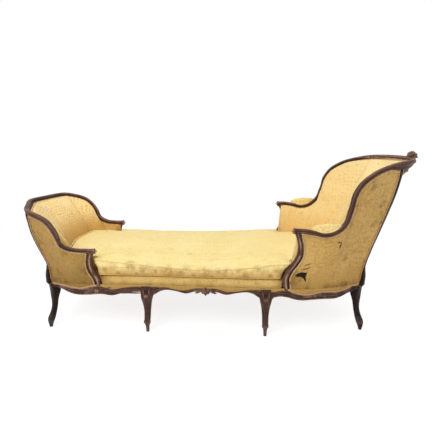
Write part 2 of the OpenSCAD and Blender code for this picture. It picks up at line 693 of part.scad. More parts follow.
// Flower from its back: [share of the radius, share of the relief]
flower_shares = [[1, 0], [1, 0.35], [0.82, 0.9], [0.5, 0.55], [0.3, 1], [0.12, 1]];
petal_share = 0.18;
petal_foot_share = 0.4;
module rail_flower() {
    t = (foot_leg_step + head_leg_step) / 2;
    out = centre_out(t);
    along = [-out[1], out[0]];
    back = centre_at(t) + (wood_gap - rail_bead) * out;
    mid_z = rail_top - rail_drop * read(centre_under_shares, half)[1] / 2;
    color(walnut)
    loft([for (s = flower_shares)
        [for (i = [0:flower_sides - 1])
            let (
                a = 360 * i / flower_sides, wave = 1 - petal_share * (1 - abs(cos(a * flower_petals / 2))),
                r = flower_r * s[0] * (s[0] > petal_foot_share ? wave : 1)
            )
            to_3d(back + flower_t * s[1] * out + r * sin(a) * along, mid_z + r * cos(a))]
    ]);
}

// Step from a corner post to the first free ring beside it
post_lead = 42;
function post_apart(wall, t) = post_lead / step_l(wall, t);

// Tacking rails just above the deck, between supports and corner posts
tack_low = 8;
tack_h = 30;
function wall_frame_ring(wall, t, z_list, depths, beside = 0) =
    [for (k = [0:len(z_list) - 1])
        let (z = z_list[k], out = wall_out(wall, t, z), along = [-out[1], out[0]])
        to_3d(wall_at(wall, t, z, cloth_drop(wall, t)) - depths[k] * out
            + beside * (post_half_at(z) + 2 * wood_gap) * along, z)];
tack_face = 2 * cloth_gap + cloth_t;
tack_back = top_rail_w - rail_soft;
module tack_rail(wall, from, to, lead_in, lead_out) {
    z1 = deck_top + tack_low;
    z2 = z1 + tack_h;
    zs = [z1, z1, z2, z2];
    depths = [tack_back, tack_face, tack_face, tack_back];
    first = lead_in ? from + post_apart(wall, from) : from;
    final = lead_out ? to - post_apart(wall, to - 1) : to;
    color(beech)
    loft(concat(
        lead_in ? [wall_frame_ring(wall, from, zs, depths, 1)] : [],
        [for (t = steps(first, final)) wall_frame_ring(wall, t, zs, depths)],
        lead_out ? [wall_frame_ring(wall, to, zs, depths, -1)] : []
    ));
}
module side_tack_rail(wall) {
    tack_rail(wall, cloth_first, corner_step(wall), false, true);
}
module back_tack_rail(wall) {
    tack_rail(wall, corner_step(wall), last_step(wall) - corner_step(wall), true, true);
}

// Padding inside arms and backs. The inner face is the wall drawn in towards
// the seat, so it never folds over itself at the corners.
pad_rows = 5;
pad_bulge = 1.4;
function pad_depth(v, thick) = top_rail_w + cloth_gap + blend(edge_pad_t, thick, 1 - v ^ pad_bulge);
function drawn_in(wall, p, z, v, squeeze) =
    let (
        x0 = base_at(wall, 0)[0], m = middle_step(wall), end_x = wall_at(wall, m, z, line_h(wall, m))[0],
        kx = 1 - pad_depth(v, back_pad_t * squeeze) / (end_x - x0),
        ky = 1 - pad_depth(v, arm_pad_t * squeeze) / -base_at(wall, 0)[1]
    )
    [x0 + (p[0] - x0) * kx, p[1] * ky];
pad_top_drop = 16;
// Wall points from the deck up to the foot of the top rail, then near its top
function pad_wall(wall, t) =
    let (h = line_h(wall, t), z2 = wall_top(wall, t, h)[2])
    concat(
        [for (k = [0:pad_rows])
            let (z = blend(deck_top, z2, k / pad_rows)) to_3d(wall_at(wall, t, z, h), z)],
        [wall_top(wall, t, pad_top_drop)]
    );
function pad_inner(wall, t, squeeze = 1) =
    let (points = pad_wall(wall, t))
    [for (k = [0:pad_rows + 1])
        to_3d(drawn_in(wall, flat(points[k]), points[k][2], k / (pad_rows + 1), squeeze), points[k][2])];
function pad_ring(wall, t, squeeze = 1) =
    let (points = pad_wall(wall, t), depth = top_rail_w + pad_behind)
    concat(
        pad_inner(wall, t, squeeze),
        [for (k = [pad_rows + 1, pad_rows, pad_rows - 2, 1, 0])
            to_3d(flat(points[k]) - depth * wall_out(wall, t, points[k][2]), points[k][2])]
    );
// Room between the padding and the back of the top rail
pad_behind = 2.5;
pad_front = 0.5;
seam_half_share = 0.02;
front_squeeze = 0.8;
front_roll = 0.25;
module inside_arm(wall) {
    c = corner_step(wall);
    color(damask)
    loft(reversed(concat(
        [pad_ring(wall, pad_front, front_squeeze)],
        [for (t = steps(pad_front + front_roll, c - seam_half_share)) pad_ring(wall, t)]
    )), true);
}
module inside_back(wall) {
    c = corner_step(wall);
    color(damask)
    loft(reversed(
        [for (t = steps(c + seam_half_share, last_step(wall) - c - seam_half_share)) pad_ring(wall, t)]
    ), true);
}

// Outside cloth, stretched from the rails up to the underside of the top rail
cloth_in = 1;
// Heights of the rows beside the arm support; beside the corner post they follow its knuckle
cloth_row_shares = [0, 0.18, 0.35, 0.48, 0.62, 0.8, 1];
cloth_rows = len(cloth_row_shares) - 1;
function cloth_z(wall, t, z_top, k) =
    let (
        knee = rail_top + knee_share * deck_h,
        low = k <= knee_share ? rail_top + k * deck_h
            : blend(knee, z_top, (k - knee_share) / (cloth_rows - knee_share))
    )
    blend(blend(rail_top, z_top, cloth_row_shares[k]), low, min(1, t / corner_step(wall)));
function cloth_drop(wall, t) = line_h(wall, t) + cloth_gap;
function cloth_column(wall, t, z_top, shift_at, depth) =
    [for (k = [0:cloth_rows])
        let (z = cloth_z(wall, t, z_top, k), out = wall_out(wall, t, z))
        to_3d(wall_at(wall, t, z, cloth_drop(wall, t)) - depth * out + shift_at(z) * [-out[1], out[0]], z)];
function cloth_ring(wall, t, shift_at = function (z) 0) =
    let (z_top = wall_top(wall, t, cloth_drop(wall, t))[2])
    concat(
        cloth_column(wall, t, z_top, shift_at, cloth_in + cloth_t),
        reversed(cloth_column(wall, t, z_top, shift_at, cloth_in))
    );
// Front edge beside the arm support
edge_gap = 4;
function support_edge(wall, z_top, depth) =
    [for (k = [0:cloth_rows])
        let (
            z = cloth_z(wall, 0, z_top, k),
            s = (z - rail_top) / (support_top(wall) - rail_top)
        )
        [base_at(wall, 0)[0] + support_x(wall, s) + support_half(wall, s) + edge_gap,
            support_face(wall, s) + depth, z]];
function support_ring(wall) =
    let (z_top = support_top(wall) - cloth_gap)
    concat(
        support_edge(wall, z_top, cloth_in + cloth_t),
        reversed(support_edge(wall, z_top, cloth_in))
    );
cloth_first = 2.25;
module outside_arm(wall) {
    c = corner_step(wall);
    color(damask_shade)
    loft(reversed(concat(
        [support_ring(wall)],
        [for (t = steps(cloth_first, c - post_apart(wall, c - 1))) cloth_ring(wall, t)],
        [cloth_ring(wall, c, function (z) -post_half_at(z) - cloth_gap)]
    )), true);
}
module outside_back(wall) {
    c = corner_step(wall);
    d = last_step(wall) - c;
    color(damask_shade)
    loft(reversed(concat(
        [cloth_ring(wall, c, function (z) post_half_at(z) + cloth_gap)],
        [for (t = steps(c + post_apart(wall, c), d - post_apart(wall, c))) cloth_ring(wall, t)],
        [cloth_ring(wall, d, function (z) -post_half_at(z) - cloth_gap)]
    )), true);
}

// Pads on the head end arms
arm_pad_from = 1.75;
arm_pad_to = 4.55;
arm_pad_steps = 11;
arm_pad_sides = 8;
// Value halfway along the straight stretches that the rails are built from
function chord(value_at, t) =
    let (a = floor(t / half) * half) blend(value_at(a), value_at(a + half), (t - a) / half);
arm_pad_w_share = 0.6;
arm_pad_swell_share = 0.08;
arm_pad_end_share = 0.12;
arm_pad_power = 0.55;
arm_pad_round = 0.7;
function arm_pad_ring(f) =
    let (
        t = blend(arm_pad_from, arm_pad_to, f),
        swell = max(arm_pad_end_share, sin(180 * f)) ^ arm_pad_power,
        n2 = chord(function (k) line_out(head_wall, k), t), n = [n2[0], n2[1], 0],
        u = chord(function (k) line_up(head_wall, k), t),
        p = chord(function (k) line_at(head_wall, k), t) + rest_gap * u
    )
    [for (i = [0:arm_pad_sides])
        let (
            a = 180 * i / arm_pad_sides,
            wide = swell * (top_rail_w * arm_pad_w_share / 2 + manchette_h * arm_pad_swell_share * sin(a))
        )
        p + (wide * cos(a) - top_rail_w / 2) * n + manchette_h * swell * sin(a) ^ arm_pad_round * u];
module arm_pad() {
    color(damask)
    loft([for (i = [0:arm_pad_steps]) arm_pad_ring(i / arm_pad_steps)]);
}

// Seat plan, inset from the outer face, near side from foot to head
plan_steps = 6;
function plan_half(inset) =
    concat(
        [for (t = [middle_step(foot_wall):-half:-lead])
            let (p = base_at(foot_wall, t) - inset * base_out(foot_wall, t)) [-p[0], p[1]]],
        [for (i = [1:plan_steps - 1])
            let (t = blend(foot_leg_step, head_leg_step, i / plan_steps))
            centre_at(t) - inset * centre_out(t)],
        [for (t = [-lead:half:middle_step(head_wall)])
            base_at(head_wall, t) - inset * base_out(head_wall, t)]
    );
function seat_plan(inset) = both_sides(plan_half(inset));

// Webbing: straps both ways, ending on the rails
web_inset = support_inset + support_d + cloth_gap;
web_pitch_cross = 105;
web_pitch_long = 136;
module webbing_cross() {
    span = overall_l / 2;
    half_n = floor((foot_away_x + foot_support_back) / web_pitch_cross);
    color(jute)
    translate([0, 0, rail_top])
    linear_extrude(web_t)
    intersection() {
        polygon(seat_plan(web_inset));
        for (i = [-half_n:half_n])
            translate([i * web_pitch_cross - web_w / 2, -span]) square([web_w, 2 * span]);
    }
}
module webbing_long() {
    span = overall_l / 2;
    color(jute)
    translate([0, 0, rail_top + web_t])
    linear_extrude(web_t)
    intersection() {
        polygon(seat_plan(web_inset));
        for (i = [-1, 0, 1])
            translate([-span, i * web_pitch_long - web_w / 2]) square([2 * span, web_w]);
    }
}

// Deck: the sprung platform with its border, notched round supports and posts
deck_inset = rebate + cloth_gap / 2;
function notch(centre, out, half_w, depth) =
    let (along = [-out[1], out[0]])
    [for (k = [[-1, 1], [1, 1], [1, 0], [-1, 0]])
        centre + k[0] * half_w * along + (k[1] == 1 ? rail_t : -depth) * out];
// Room round an arm support, as a share of its foot
support_swell = 1.5;
module wall_notches(wall) {
    c = corner_step(wall);
    polygon(notch(base_at(wall, c), base_out(wall, c), block_half_w + cloth_gap,
        2 * block_half_d + cloth_gap));
    top_share = (deck_top - rail_top) / (support_top(wall) - rail_top);
    swept = support_x(wall, top_share);
    leant = max(0, support_face(wall, top_share) - base_at(wall, 0)[1]);
    polygon(notch(base_at(wall, 0) + [swept / 2, 0], [0, -1],
        support_half_w * support_swell + abs(swept) / 2 + cloth_gap,
        support_inset + support_d + leant + 2 * cloth_gap));
}
module seat_deck() {
    color(damask)
    translate([0, 0, deck_bottom])
    linear_extrude(deck_h)
    difference() {
        polygon(seat_plan(deck_inset));
        for (far = [false, true], foot = [false, true])
            at_side(far) at_end(foot) wall_notches(foot ? foot_wall : head_wall);
    }
}

// Loose cushion. Its ends follow the padding, which leans away as it rises.
cushion_inset = rebate + cushion_gap;
cushion_round = 14;
ear_share = 0.33;
ear_lean_share = 0.12;
function between(points, z, i = 0) =
    i >= len(points) - 2 || z < points[i + 1][2]
    ? blend(points[i], points[i + 1], (z - points[i][2]) / (points[i + 1][2] - points[i][2]))
    : between(points, z, i + 1);
function cushion_end(wall, z) =
    let (m = middle_step(wall))
    [for (t = [m:-half:1])
        let (p = flat(between(pad_inner(wall, t), z)), out = unit(p - [base_at(wall, 0)[0], 0]))
        p - cushion_gap * (t == m ? [1, 0] : out)];
// Corner where the cushion widens in front of an arm support
function cushion_ear(wall, z) =
    let (
        s = (z - rail_top) / (support_top(wall) - rail_top), foot_x = base_at(wall, 0)[0],
        beside = foot_x + support_x(wall, s) - support_half(wall, s), under = line_at(wall, 0)[0],
        x = min(beside, under) - cushion_gap, r = cushion_round,
        inner = between(pad_inner(wall, half), z)[1] + cushion_gap,
        outer = base_at(wall, 0)[1] + cushion_inset
    )
    [[x + r, inner], [x + r * ear_share, inner - r * ear_share], [x + r * ear_lean_share, inner - r],
        [x, outer + r], [x - r * ear_share, outer + r * ear_share], [x - r, outer]];
function flip_x(p) = [-p[0], p[1]];
function cushion_half_plan(z) = concat(
    [for (p = cushion_end(foot_wall, z)) flip_x(p)],
    [for (p = cushion_ear(foot_wall, z)) flip_x(p)],
    [for (t = [-lead / 2, -lead]) flip_x(base_at(foot_wall, t) + [0, cushion_inset])],
    [for (i = [1:plan_steps - 1])
        centre_at(blend(foot_leg_step, head_leg_step, i / plan_steps)) + [0, cushion_inset]],
    [for (t = [-lead, -lead / 2]) base_at(head_wall, t) + [0, cushion_inset]],
    reversed(cushion_ear(head_wall, z)),
    reversed(cushion_end(head_wall, z))
);
// The mirrored far side ends on the first point, which is left out
function open_loop(points) = [for (i = [0:len(points) - 2]) points[i]];
cushion_base = cushion_half_plan(deck_top);
cushion_from = cushion_base[0][0];
cushion_to = cushion_base[len(cushion_base) - 1][0];
cushion_mid_x = (cushion_from + cushion_to) / 2;
cushion_half_l = (cushion_to - cushion_from) / 2;
// Edge thickness along the cushion: [share from its middle, share of the sag]
cushion_sag_shares = [
    [-1, 0], [-0.7, 0.05], [-0.5, 0.45], [-0.15, 0.95], [0.05, 1], [0.22, 0.85], [0.38, 0.42],
    [0.52, 0.08], [1, 0]
];
// How far in from the edge the crown keeps rising
cushion_reach = 180;
// Rings: [share of that reach, share of the edge thickness, of the crown, of the waist]
cushion_ring_shares = [
    [0.045, 0, 0, 0], [0.006, 0.1, 0, 0], [0, 0.5, 0, 1], [0, 0.94, 0, 0], [0.022, 1.02, 0.05, 0],
    [0.17, 1, 0.5, 0], [0.65, 1, 1, 0]
];
function cushion_ring(row) =
    let (plan = open_loop(both_sides(cushion_half_plan(deck_top + rest_gap + cushion_h * min(1, row[1])))))
    [for (p = plan)
        let (
            inset = row[0] * cushion_reach + row[3] * cushion_waist,
            kx = 1 - inset / cushion_half_l, ky = 1 - inset / head_seat_half_w,
            share = max(-1, min(1, (p[0] - cushion_mid_x) / cushion_half_l)),
            edge = cushion_h - cushion_sag * read(cushion_sag_shares, share)[1]
        )
        [cushion_mid_x + (p[0] - cushion_mid_x) * kx, p[1] * ky,
            deck_top + rest_gap + edge * row[1] + cushion_crown * row[2]]];
module cushion() {
    n = len(cushion_base);
    rings = [for (row = cushion_ring_shares) cushion_ring(row)];
    count = len(rings[0]);
    m = len(rings);
    last = (m - 1) * count;
    sides = [for (k = [0:m - 2], i = [0:count - 1])
        let (a = k * count + i, b = k * count + (i + 1) % count)
        each [[a, b + count, b], [a, a + count, b + count]]];
    // Flat bottom and top are laddered across from the near to the far side
    ladder = [for (i = [0:n - 2])
        let (a = i, b = i + 1, c = (count - i) % count, d = count - i - 1)
        each concat(i == 0 ? [] : [[a, b, c]], i == n - 2 ? [] : [[b, d, c]])];
    color(damask)
    polyhedron([for (r = rings) each r],
        concat(sides, ladder, [for (f = ladder) [last + f[0], last + f[2], last + f[1]]]), convexity = 8);
}

mid_leg(foot_leg_step);  // mid_leg_foot_near
at_side(true) mid_leg(foot_leg_step);  // mid_leg_foot_far
mid_leg(head_leg_step);  // mid_leg_head_near
at_side(true) mid_leg(head_leg_step);  // mid_leg_head_far
at_end(true) corner_leg(foot_wall);  // corner_leg_foot_near
at_side(true) at_end(true) corner_leg(foot_wall);  // corner_leg_foot_far
corner_leg(head_wall);  // corner_leg_head_near
at_side(true) corner_leg(head_wall);  // corner_leg_head_far
centre_rail();  // seat_rail_centre_near
at_side(true) centre_rail();  // seat_rail_centre_far
at_end(true) side_rail(foot_wall, foot_leg_step, true, foot_under_shares, foot_show_shares);  // seat_rail_foot_near
at_side(true) at_end(true)  // seat_rail_foot_far
        side_rail(foot_wall, foot_leg_step, true, foot_under_shares, foot_show_shares);
side_rail(head_wall, head_leg_step, false, head_under_shares, head_show_shares);  // seat_rail_head_near
at_side(true) side_rail(head_wall, head_leg_step, false, head_under_shares, head_show_shares);  // seat_rail_head_far
at_end(true) end_rail(foot_wall);  // end_rail_foot
end_rail(head_wall);  // end_rail_head
cross_brace(foot_leg_step);  // cross_brace_foot
cross_brace(head_leg_step);  // cross_brace_head
at_end(true) corner_blocks(foot_wall);  // corner_blocks_foot
corner_blocks(head_wall);  // corner_blocks_head
at_end(true) arm_support(foot_wall);  // arm_support_foot_near
at_side(true) at_end(true) arm_support(foot_wall);  // arm_support_foot_far
arm_support(head_wall);  // arm_support_head_near
at_side(true) arm_support(head_wall);  // arm_support_head_far
at_end(true) arm_rail(foot_wall);  // arm_rail_foot_near
at_side(true) at_end(true) arm_rail(foot_wall);  // arm_rail_foot_far
arm_rail(head_wall);  // wing_rail_head_near
at_side(true) arm_rail(head_wall);  // wing_rail_head_far
at_end(true) crest_rail(foot_wall);  // crest_rail_foot
crest_rail(head_wall);  // crest_rail_head
crest_spray();
rail_flower();  // rail_flower_near
at_side(true) rail_flower();  // rail_flower_far
at_end(true) side_tack_rail(foot_wall);  // tack_rail_foot_near
at_side(true) at_end(true) side_tack_rail(foot_wall);  // tack_rail_foot_far
at_end(true) back_tack_rail(foot_wall);  // tack_rail_foot_back
side_tack_rail(head_wall);  // tack_rail_head_near
at_side(true) side_tack_rail(head_wall);  // tack_rail_head_far
back_tack_rail(head_wall);  // tack_rail_head_back
webbing_cross();
webbing_long();
seat_deck();
cushion();
at_end(true) inside_arm(foot_wall);  // inside_arm_foot_near
at_side(true) at_end(true) inside_arm(foot_wall);  // inside_arm_foot_far
at_end(true) inside_back(foot_wall);  // inside_back_foot
inside_arm(head_wall);  // inside_arm_head_near
at_side(true) inside_arm(head_wall);  // inside_arm_head_far
inside_back(head_wall);  // inside_back_head
at_end(true) outside_arm(foot_wall);  // outside_arm_foot_near
at_side(true) at_end(true) outside_arm(foot_wall);  // outside_arm_foot_far
at_end(true) outside_back(foot_wall);  // outside_back_foot
outside_arm(head_wall);  // outside_arm_head_near
at_side(true) outside_arm(head_wall);  // outside_arm_head_far
outside_back(head_wall);  // outside_back_head
arm_pad();  // arm_pad_near
at_side(true) arm_pad();  // arm_pad_far
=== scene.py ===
import functools
import json
import math
import bmesh
import bpy
import numpy as np
from mathutils import Vector, noise
from mathutils.kdtree import KDTree
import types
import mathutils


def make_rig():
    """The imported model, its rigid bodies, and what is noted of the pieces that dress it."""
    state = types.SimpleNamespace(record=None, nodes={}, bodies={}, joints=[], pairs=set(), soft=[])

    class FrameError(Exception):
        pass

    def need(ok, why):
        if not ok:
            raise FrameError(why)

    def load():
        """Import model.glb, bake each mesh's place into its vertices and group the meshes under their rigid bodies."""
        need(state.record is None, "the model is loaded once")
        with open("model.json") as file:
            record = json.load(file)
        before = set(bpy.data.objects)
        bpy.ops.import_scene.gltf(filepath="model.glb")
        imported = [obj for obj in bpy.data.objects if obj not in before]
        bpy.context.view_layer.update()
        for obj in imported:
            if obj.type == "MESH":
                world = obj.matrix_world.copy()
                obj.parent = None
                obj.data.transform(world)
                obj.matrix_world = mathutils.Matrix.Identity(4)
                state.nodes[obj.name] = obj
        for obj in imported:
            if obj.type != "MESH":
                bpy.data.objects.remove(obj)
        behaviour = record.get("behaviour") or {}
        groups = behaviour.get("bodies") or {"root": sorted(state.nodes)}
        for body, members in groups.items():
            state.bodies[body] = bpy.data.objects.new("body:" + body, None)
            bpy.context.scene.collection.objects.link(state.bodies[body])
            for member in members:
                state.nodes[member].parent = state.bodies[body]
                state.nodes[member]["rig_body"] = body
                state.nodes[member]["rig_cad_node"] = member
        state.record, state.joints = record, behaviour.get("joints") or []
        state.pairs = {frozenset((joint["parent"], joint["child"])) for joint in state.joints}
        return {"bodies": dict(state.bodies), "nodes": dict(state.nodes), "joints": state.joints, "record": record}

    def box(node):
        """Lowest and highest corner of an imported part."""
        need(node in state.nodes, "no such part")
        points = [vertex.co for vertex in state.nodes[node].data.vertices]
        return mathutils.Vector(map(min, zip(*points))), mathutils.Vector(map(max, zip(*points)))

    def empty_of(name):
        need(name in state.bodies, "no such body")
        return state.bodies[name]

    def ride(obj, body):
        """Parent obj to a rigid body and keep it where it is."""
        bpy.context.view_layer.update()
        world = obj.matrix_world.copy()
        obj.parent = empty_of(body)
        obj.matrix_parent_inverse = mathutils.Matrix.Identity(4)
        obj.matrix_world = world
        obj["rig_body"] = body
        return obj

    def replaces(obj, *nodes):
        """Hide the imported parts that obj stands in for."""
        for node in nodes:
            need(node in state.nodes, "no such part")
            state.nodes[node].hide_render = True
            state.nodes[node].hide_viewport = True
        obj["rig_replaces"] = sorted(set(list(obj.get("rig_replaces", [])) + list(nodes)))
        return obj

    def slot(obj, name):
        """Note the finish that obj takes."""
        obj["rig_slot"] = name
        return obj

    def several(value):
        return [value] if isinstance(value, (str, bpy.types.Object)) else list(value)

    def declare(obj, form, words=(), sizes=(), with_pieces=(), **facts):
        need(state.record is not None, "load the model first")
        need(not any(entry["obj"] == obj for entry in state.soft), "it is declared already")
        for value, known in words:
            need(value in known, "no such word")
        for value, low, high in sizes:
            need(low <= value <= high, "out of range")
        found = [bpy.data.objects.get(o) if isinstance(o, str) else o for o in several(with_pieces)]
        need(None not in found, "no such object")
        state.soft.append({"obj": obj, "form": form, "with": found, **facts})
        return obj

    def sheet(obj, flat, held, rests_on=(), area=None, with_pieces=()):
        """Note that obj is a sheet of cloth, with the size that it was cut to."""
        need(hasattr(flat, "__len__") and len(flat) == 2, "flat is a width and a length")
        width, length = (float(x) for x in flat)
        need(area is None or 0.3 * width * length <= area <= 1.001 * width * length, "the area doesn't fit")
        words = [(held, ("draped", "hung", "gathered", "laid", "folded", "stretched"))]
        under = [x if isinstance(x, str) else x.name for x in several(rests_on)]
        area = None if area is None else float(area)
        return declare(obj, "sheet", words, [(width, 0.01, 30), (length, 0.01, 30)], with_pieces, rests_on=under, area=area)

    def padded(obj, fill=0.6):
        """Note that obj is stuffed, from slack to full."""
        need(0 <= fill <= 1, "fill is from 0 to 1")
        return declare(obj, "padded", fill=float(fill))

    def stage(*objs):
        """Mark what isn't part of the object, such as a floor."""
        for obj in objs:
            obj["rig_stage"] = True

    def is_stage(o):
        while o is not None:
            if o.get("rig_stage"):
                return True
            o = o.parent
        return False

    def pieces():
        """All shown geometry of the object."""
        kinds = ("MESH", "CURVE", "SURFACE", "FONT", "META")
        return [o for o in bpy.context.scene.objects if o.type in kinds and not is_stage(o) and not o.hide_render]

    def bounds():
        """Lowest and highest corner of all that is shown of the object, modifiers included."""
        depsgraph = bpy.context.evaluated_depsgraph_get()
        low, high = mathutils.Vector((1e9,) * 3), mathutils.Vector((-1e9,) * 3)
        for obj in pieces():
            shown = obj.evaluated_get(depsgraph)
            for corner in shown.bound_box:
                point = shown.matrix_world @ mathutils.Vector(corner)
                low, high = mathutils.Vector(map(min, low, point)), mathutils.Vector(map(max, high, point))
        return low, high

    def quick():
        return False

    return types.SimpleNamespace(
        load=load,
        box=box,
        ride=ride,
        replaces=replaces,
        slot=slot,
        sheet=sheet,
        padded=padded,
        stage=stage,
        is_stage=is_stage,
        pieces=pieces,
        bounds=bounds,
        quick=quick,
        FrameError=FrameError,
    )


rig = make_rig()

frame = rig.load()
sizes = {"cad": [list(corner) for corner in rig.bounds()]}

# Camera, floor and light. The day bed stands on a white floor under soft, even light, seen from a
# little above its seat and slightly from the head end side.
camera_data = bpy.data.cameras.new("camera")
camera_data.lens = 35.0
camera_data.sensor_width = 36.0
camera = bpy.data.objects.new("camera", camera_data)
camera.location = (0.0621, -2.4216, 1.1217)
camera.rotation_euler = (math.radians(90 - 12.796), 0, math.radians(1.646))
bpy.context.collection.objects.link(camera)
bpy.context.scene.camera = camera
bpy.context.scene.view_settings.view_transform = "Standard"


WHITE = (1.0, 1.0, 1.0, 1.0)


def new_node(tree, kind, values, **settings):
    """A node with its settings, and with a value or a link for each socket that is named."""
    node = tree.nodes.new(kind)
    for name, setting in settings.items():
        setattr(node, name, setting)
    for slot, value in values.items():
        if isinstance(value, bpy.types.NodeSocket):
            tree.links.new(value, node.inputs[slot])
        else:
            node.inputs[slot].default_value = value
    return node


class Paint:
    """The node tree of one material or of the world, built up by short calls."""

    def __init__(self, owner):
        owner.use_nodes = True
        self.tree = owner.node_tree
        self.tree.nodes.clear()

    def add(self, kind, values=None, **settings):
        return new_node(self.tree, kind, values or {}, **settings)

    def math(self, operation, a, b=0.0, c=0.0):
        return self.add("ShaderNodeMath", {0: a, 1: b, 2: c}, operation=operation).outputs[0]

    def mix(self, factor, a, b, blend_type="MIX"):
        node = self.add("ShaderNodeMix", {0: factor, 6: a, 7: b}, data_type="RGBA", blend_type=blend_type)
        return node.outputs[2]

    def ramp(self, value, low, high, to_low=0.0, to_high=1.0):
        """Smooth step of a value between two places."""
        node = self.add("ShaderNodeMapRange", {0: value, 1: low, 2: high, 3: to_low, 4: to_high},
                        interpolation_type="SMOOTHSTEP")
        return node.outputs[0]

    def times(self, a, b):
        return self.math("MULTIPLY", a, b)

    def plus(self, a, b):
        return self.math("ADD", a, b)

    def over(self, tone, on_top, amount, strength):
        """A tone with another laid over it where an amount is high, at a strength."""
        return self.mix(self.times(amount, strength), tone, on_top)

    def noise(self, vector, scale, detail=4.0, roughness=0.55):
        node = self.add("ShaderNodeTexNoise",
                        {"Vector": vector, "Scale": scale, "Detail": detail, "Roughness": roughness})
        return node.outputs[0]

    def cloudy(self, vector, scale, low, high, detail=4.0, roughness=0.55):
        """Patches of noise, sharpened between two levels."""
        return self.ramp(self.noise(vector, scale, detail, roughness), low, high)

    def vector(self, operation, a, b):
        return self.add("ShaderNodeVectorMath", {0: a, 1: b}, operation=operation).outputs[0]

    def scaled(self, vector, scale):
        return self.vector("MULTIPLY", vector, scale)

    def part(self, vector, axis):
        return self.add("ShaderNodeSeparateXYZ", {0: vector}).outputs[axis]

    def wave(self, surface, scale, distortion, detail, across):
        """Threads that lie side by side along one way of the surface coordinates."""
        return self.add("ShaderNodeTexWave", {"Vector": surface, "Scale": scale, "Distortion": distortion,
                                              "Detail": detail}, bands_direction=across).outputs[1]

    def finish(self, tone, rough, height, strength, distance, **more):
        """Surface of a material: its colour, roughness and relief, and any other value by its socket."""
        bump = self.add("ShaderNodeBump", {"Height": height, "Strength": strength, "Distance": distance})
        shader = self.add("ShaderNodeBsdfPrincipled", {
            "Base Color": tone, "Roughness": rough, "Normal": bump.outputs[0]})
        for name, value in more.items():
            shader.inputs[name.replace("_", " ")].default_value = value
        self.add("ShaderNodeOutputMaterial", {0: shader.outputs[0]})


def colour(red, green, blue):
    """Linear colour of an sRGB one given from 0 to 255."""
    return tuple((c / 255 / 12.92 if c < 10.3 else ((c / 255 + 0.055) / 1.055) ** 2.4)
                 for c in (red, green, blue)) + (1.0,)


world = bpy.data.worlds.new("studio")
bpy.context.scene.world = world
paint = Paint(world)
sky = paint.add("ShaderNodeBackground", {0: WHITE, 1: 0.66})
seen = paint.add("ShaderNodeBackground", {0: WHITE, 1: 1.0})
rays = paint.add("ShaderNodeLightPath")
either = paint.add("ShaderNodeMixShader", {
    0: rays.outputs["Is Camera Ray"], 1: sky.outputs[0], 2: seen.outputs[0]})
paint.add("ShaderNodeOutputWorld", {0: either.outputs[0]})


def soft_lamp(name, power, across, place, aim):
    data = bpy.data.lights.new(name, "AREA")
    data.energy = power
    data.shape = "SQUARE"
    data.size = across
    lamp = bpy.data.objects.new(name, data)
    lamp.location = place
    lamp.rotation_euler = (Vector(aim) - Vector(place)).to_track_quat("-Z", "Y").to_euler()
    bpy.context.collection.objects.link(lamp)


soft_lamp("window", 66, 2.2, (-1.5, -2.7, 3.0), (0, 0, 0.3))
soft_lamp("sky_light", 30, 3.5, (0.6, 0.6, 3.6), (0, 0, 0.3))

floor_mesh = bpy.data.meshes.new("floor")
floor_mesh.from_pydata([(-9, -9, 0), (9, -9, 0), (9, 9, 0), (-9, 9, 0)], [], [(0, 1, 2, 3)])
floor = bpy.data.objects.new("floor", floor_mesh)
bpy.context.collection.objects.link(floor)
floor_paint = bpy.data.materials.new("white_floor")
paint = Paint(floor_paint)
spot = paint.add("ShaderNodeTexCoord").outputs["Object"]
tone = paint.mix(paint.noise(spot, 3.0), (0.93, 0.93, 0.93, 1), (0.96, 0.96, 0.96, 1))
lit = paint.add("ShaderNodeBsdfPrincipled", {"Base Color": tone, "Roughness": 0.9})
lit.inputs["Specular IOR Level"].default_value = 0.1
white = paint.add("ShaderNodeEmission", {0: WHITE, 1: 1.0})
lifted = paint.add("ShaderNodeEmission", {0: WHITE, 1: 1.4})
part = paint.add("ShaderNodeMixShader", {0: 0.56, 1: lit.outputs[0], 2: lifted.outputs[0]})
away = paint.add("ShaderNodeVectorMath", {0: spot}, operation="LENGTH").outputs[1]
part = paint.add("ShaderNodeMixShader", {
    0: paint.ramp(away, 1.5, 3.0), 1: part.outputs[0], 2: white.outputs[0]})
rays = paint.add("ShaderNodeLightPath")
direct = paint.math("MAXIMUM", rays.outputs["Is Camera Ray"], rays.outputs["Is Glossy Ray"])
either = paint.add("ShaderNodeMixShader", {0: direct, 1: lit.outputs[0], 2: part.outputs[0]})
paint.add("ShaderNodeOutputMaterial", {0: either.outputs[0]})
floor_mesh.materials.append(floor_paint)
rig.stage(floor)

# The two walls. Arms, corner posts and back at each end follow one foot line on the seat rails and
# one top line along the show rail. Lengths are in millimetres, x runs away from the middle, and
# steps count along the wall from the arm support, 0, to the middle of the back.
RAIL_TOP = 260.0
DECK_TOP = 314.0
RAIL_W = 36.0
SHOW_W = 25.0
SHOW_H = 20.0
SUPPORT_HALF_W = 12
FACING_Z = 500


def blend(a, b, f):
    return a + (b - a) * f


def clamp(value, least=0.0, most=1.0):
    return max(least, min(most, value))


def spline(rows, t):
    """Smooth curve through the rows, one step apart."""
    i = int(clamp(math.floor(t), 0, len(rows) - 2))
    a, b, c, d = (rows[int(clamp(i + k, 0, len(rows) - 1))] for k in (-1, 0, 1, 2))
    f = t - i
    return (b * 2 + (c - a) * f + (a * 2 - b * 5 + c * 4 - d) * f * f
            + (b * 3 - a - c * 3 + d) * f * f * f) / 2


def read(table, place):
    """Row of a table at a place in its first column."""
    i = 0
    while i < len(table) - 2 and place >= table[i + 1][0]:
        i += 1
    f = (place - table[i][0]) / (table[i + 1][0] - table[i][0])
    return spline(table, i + clamp(f))


def rows(*values):
    return [np.array(row, float) for row in values]


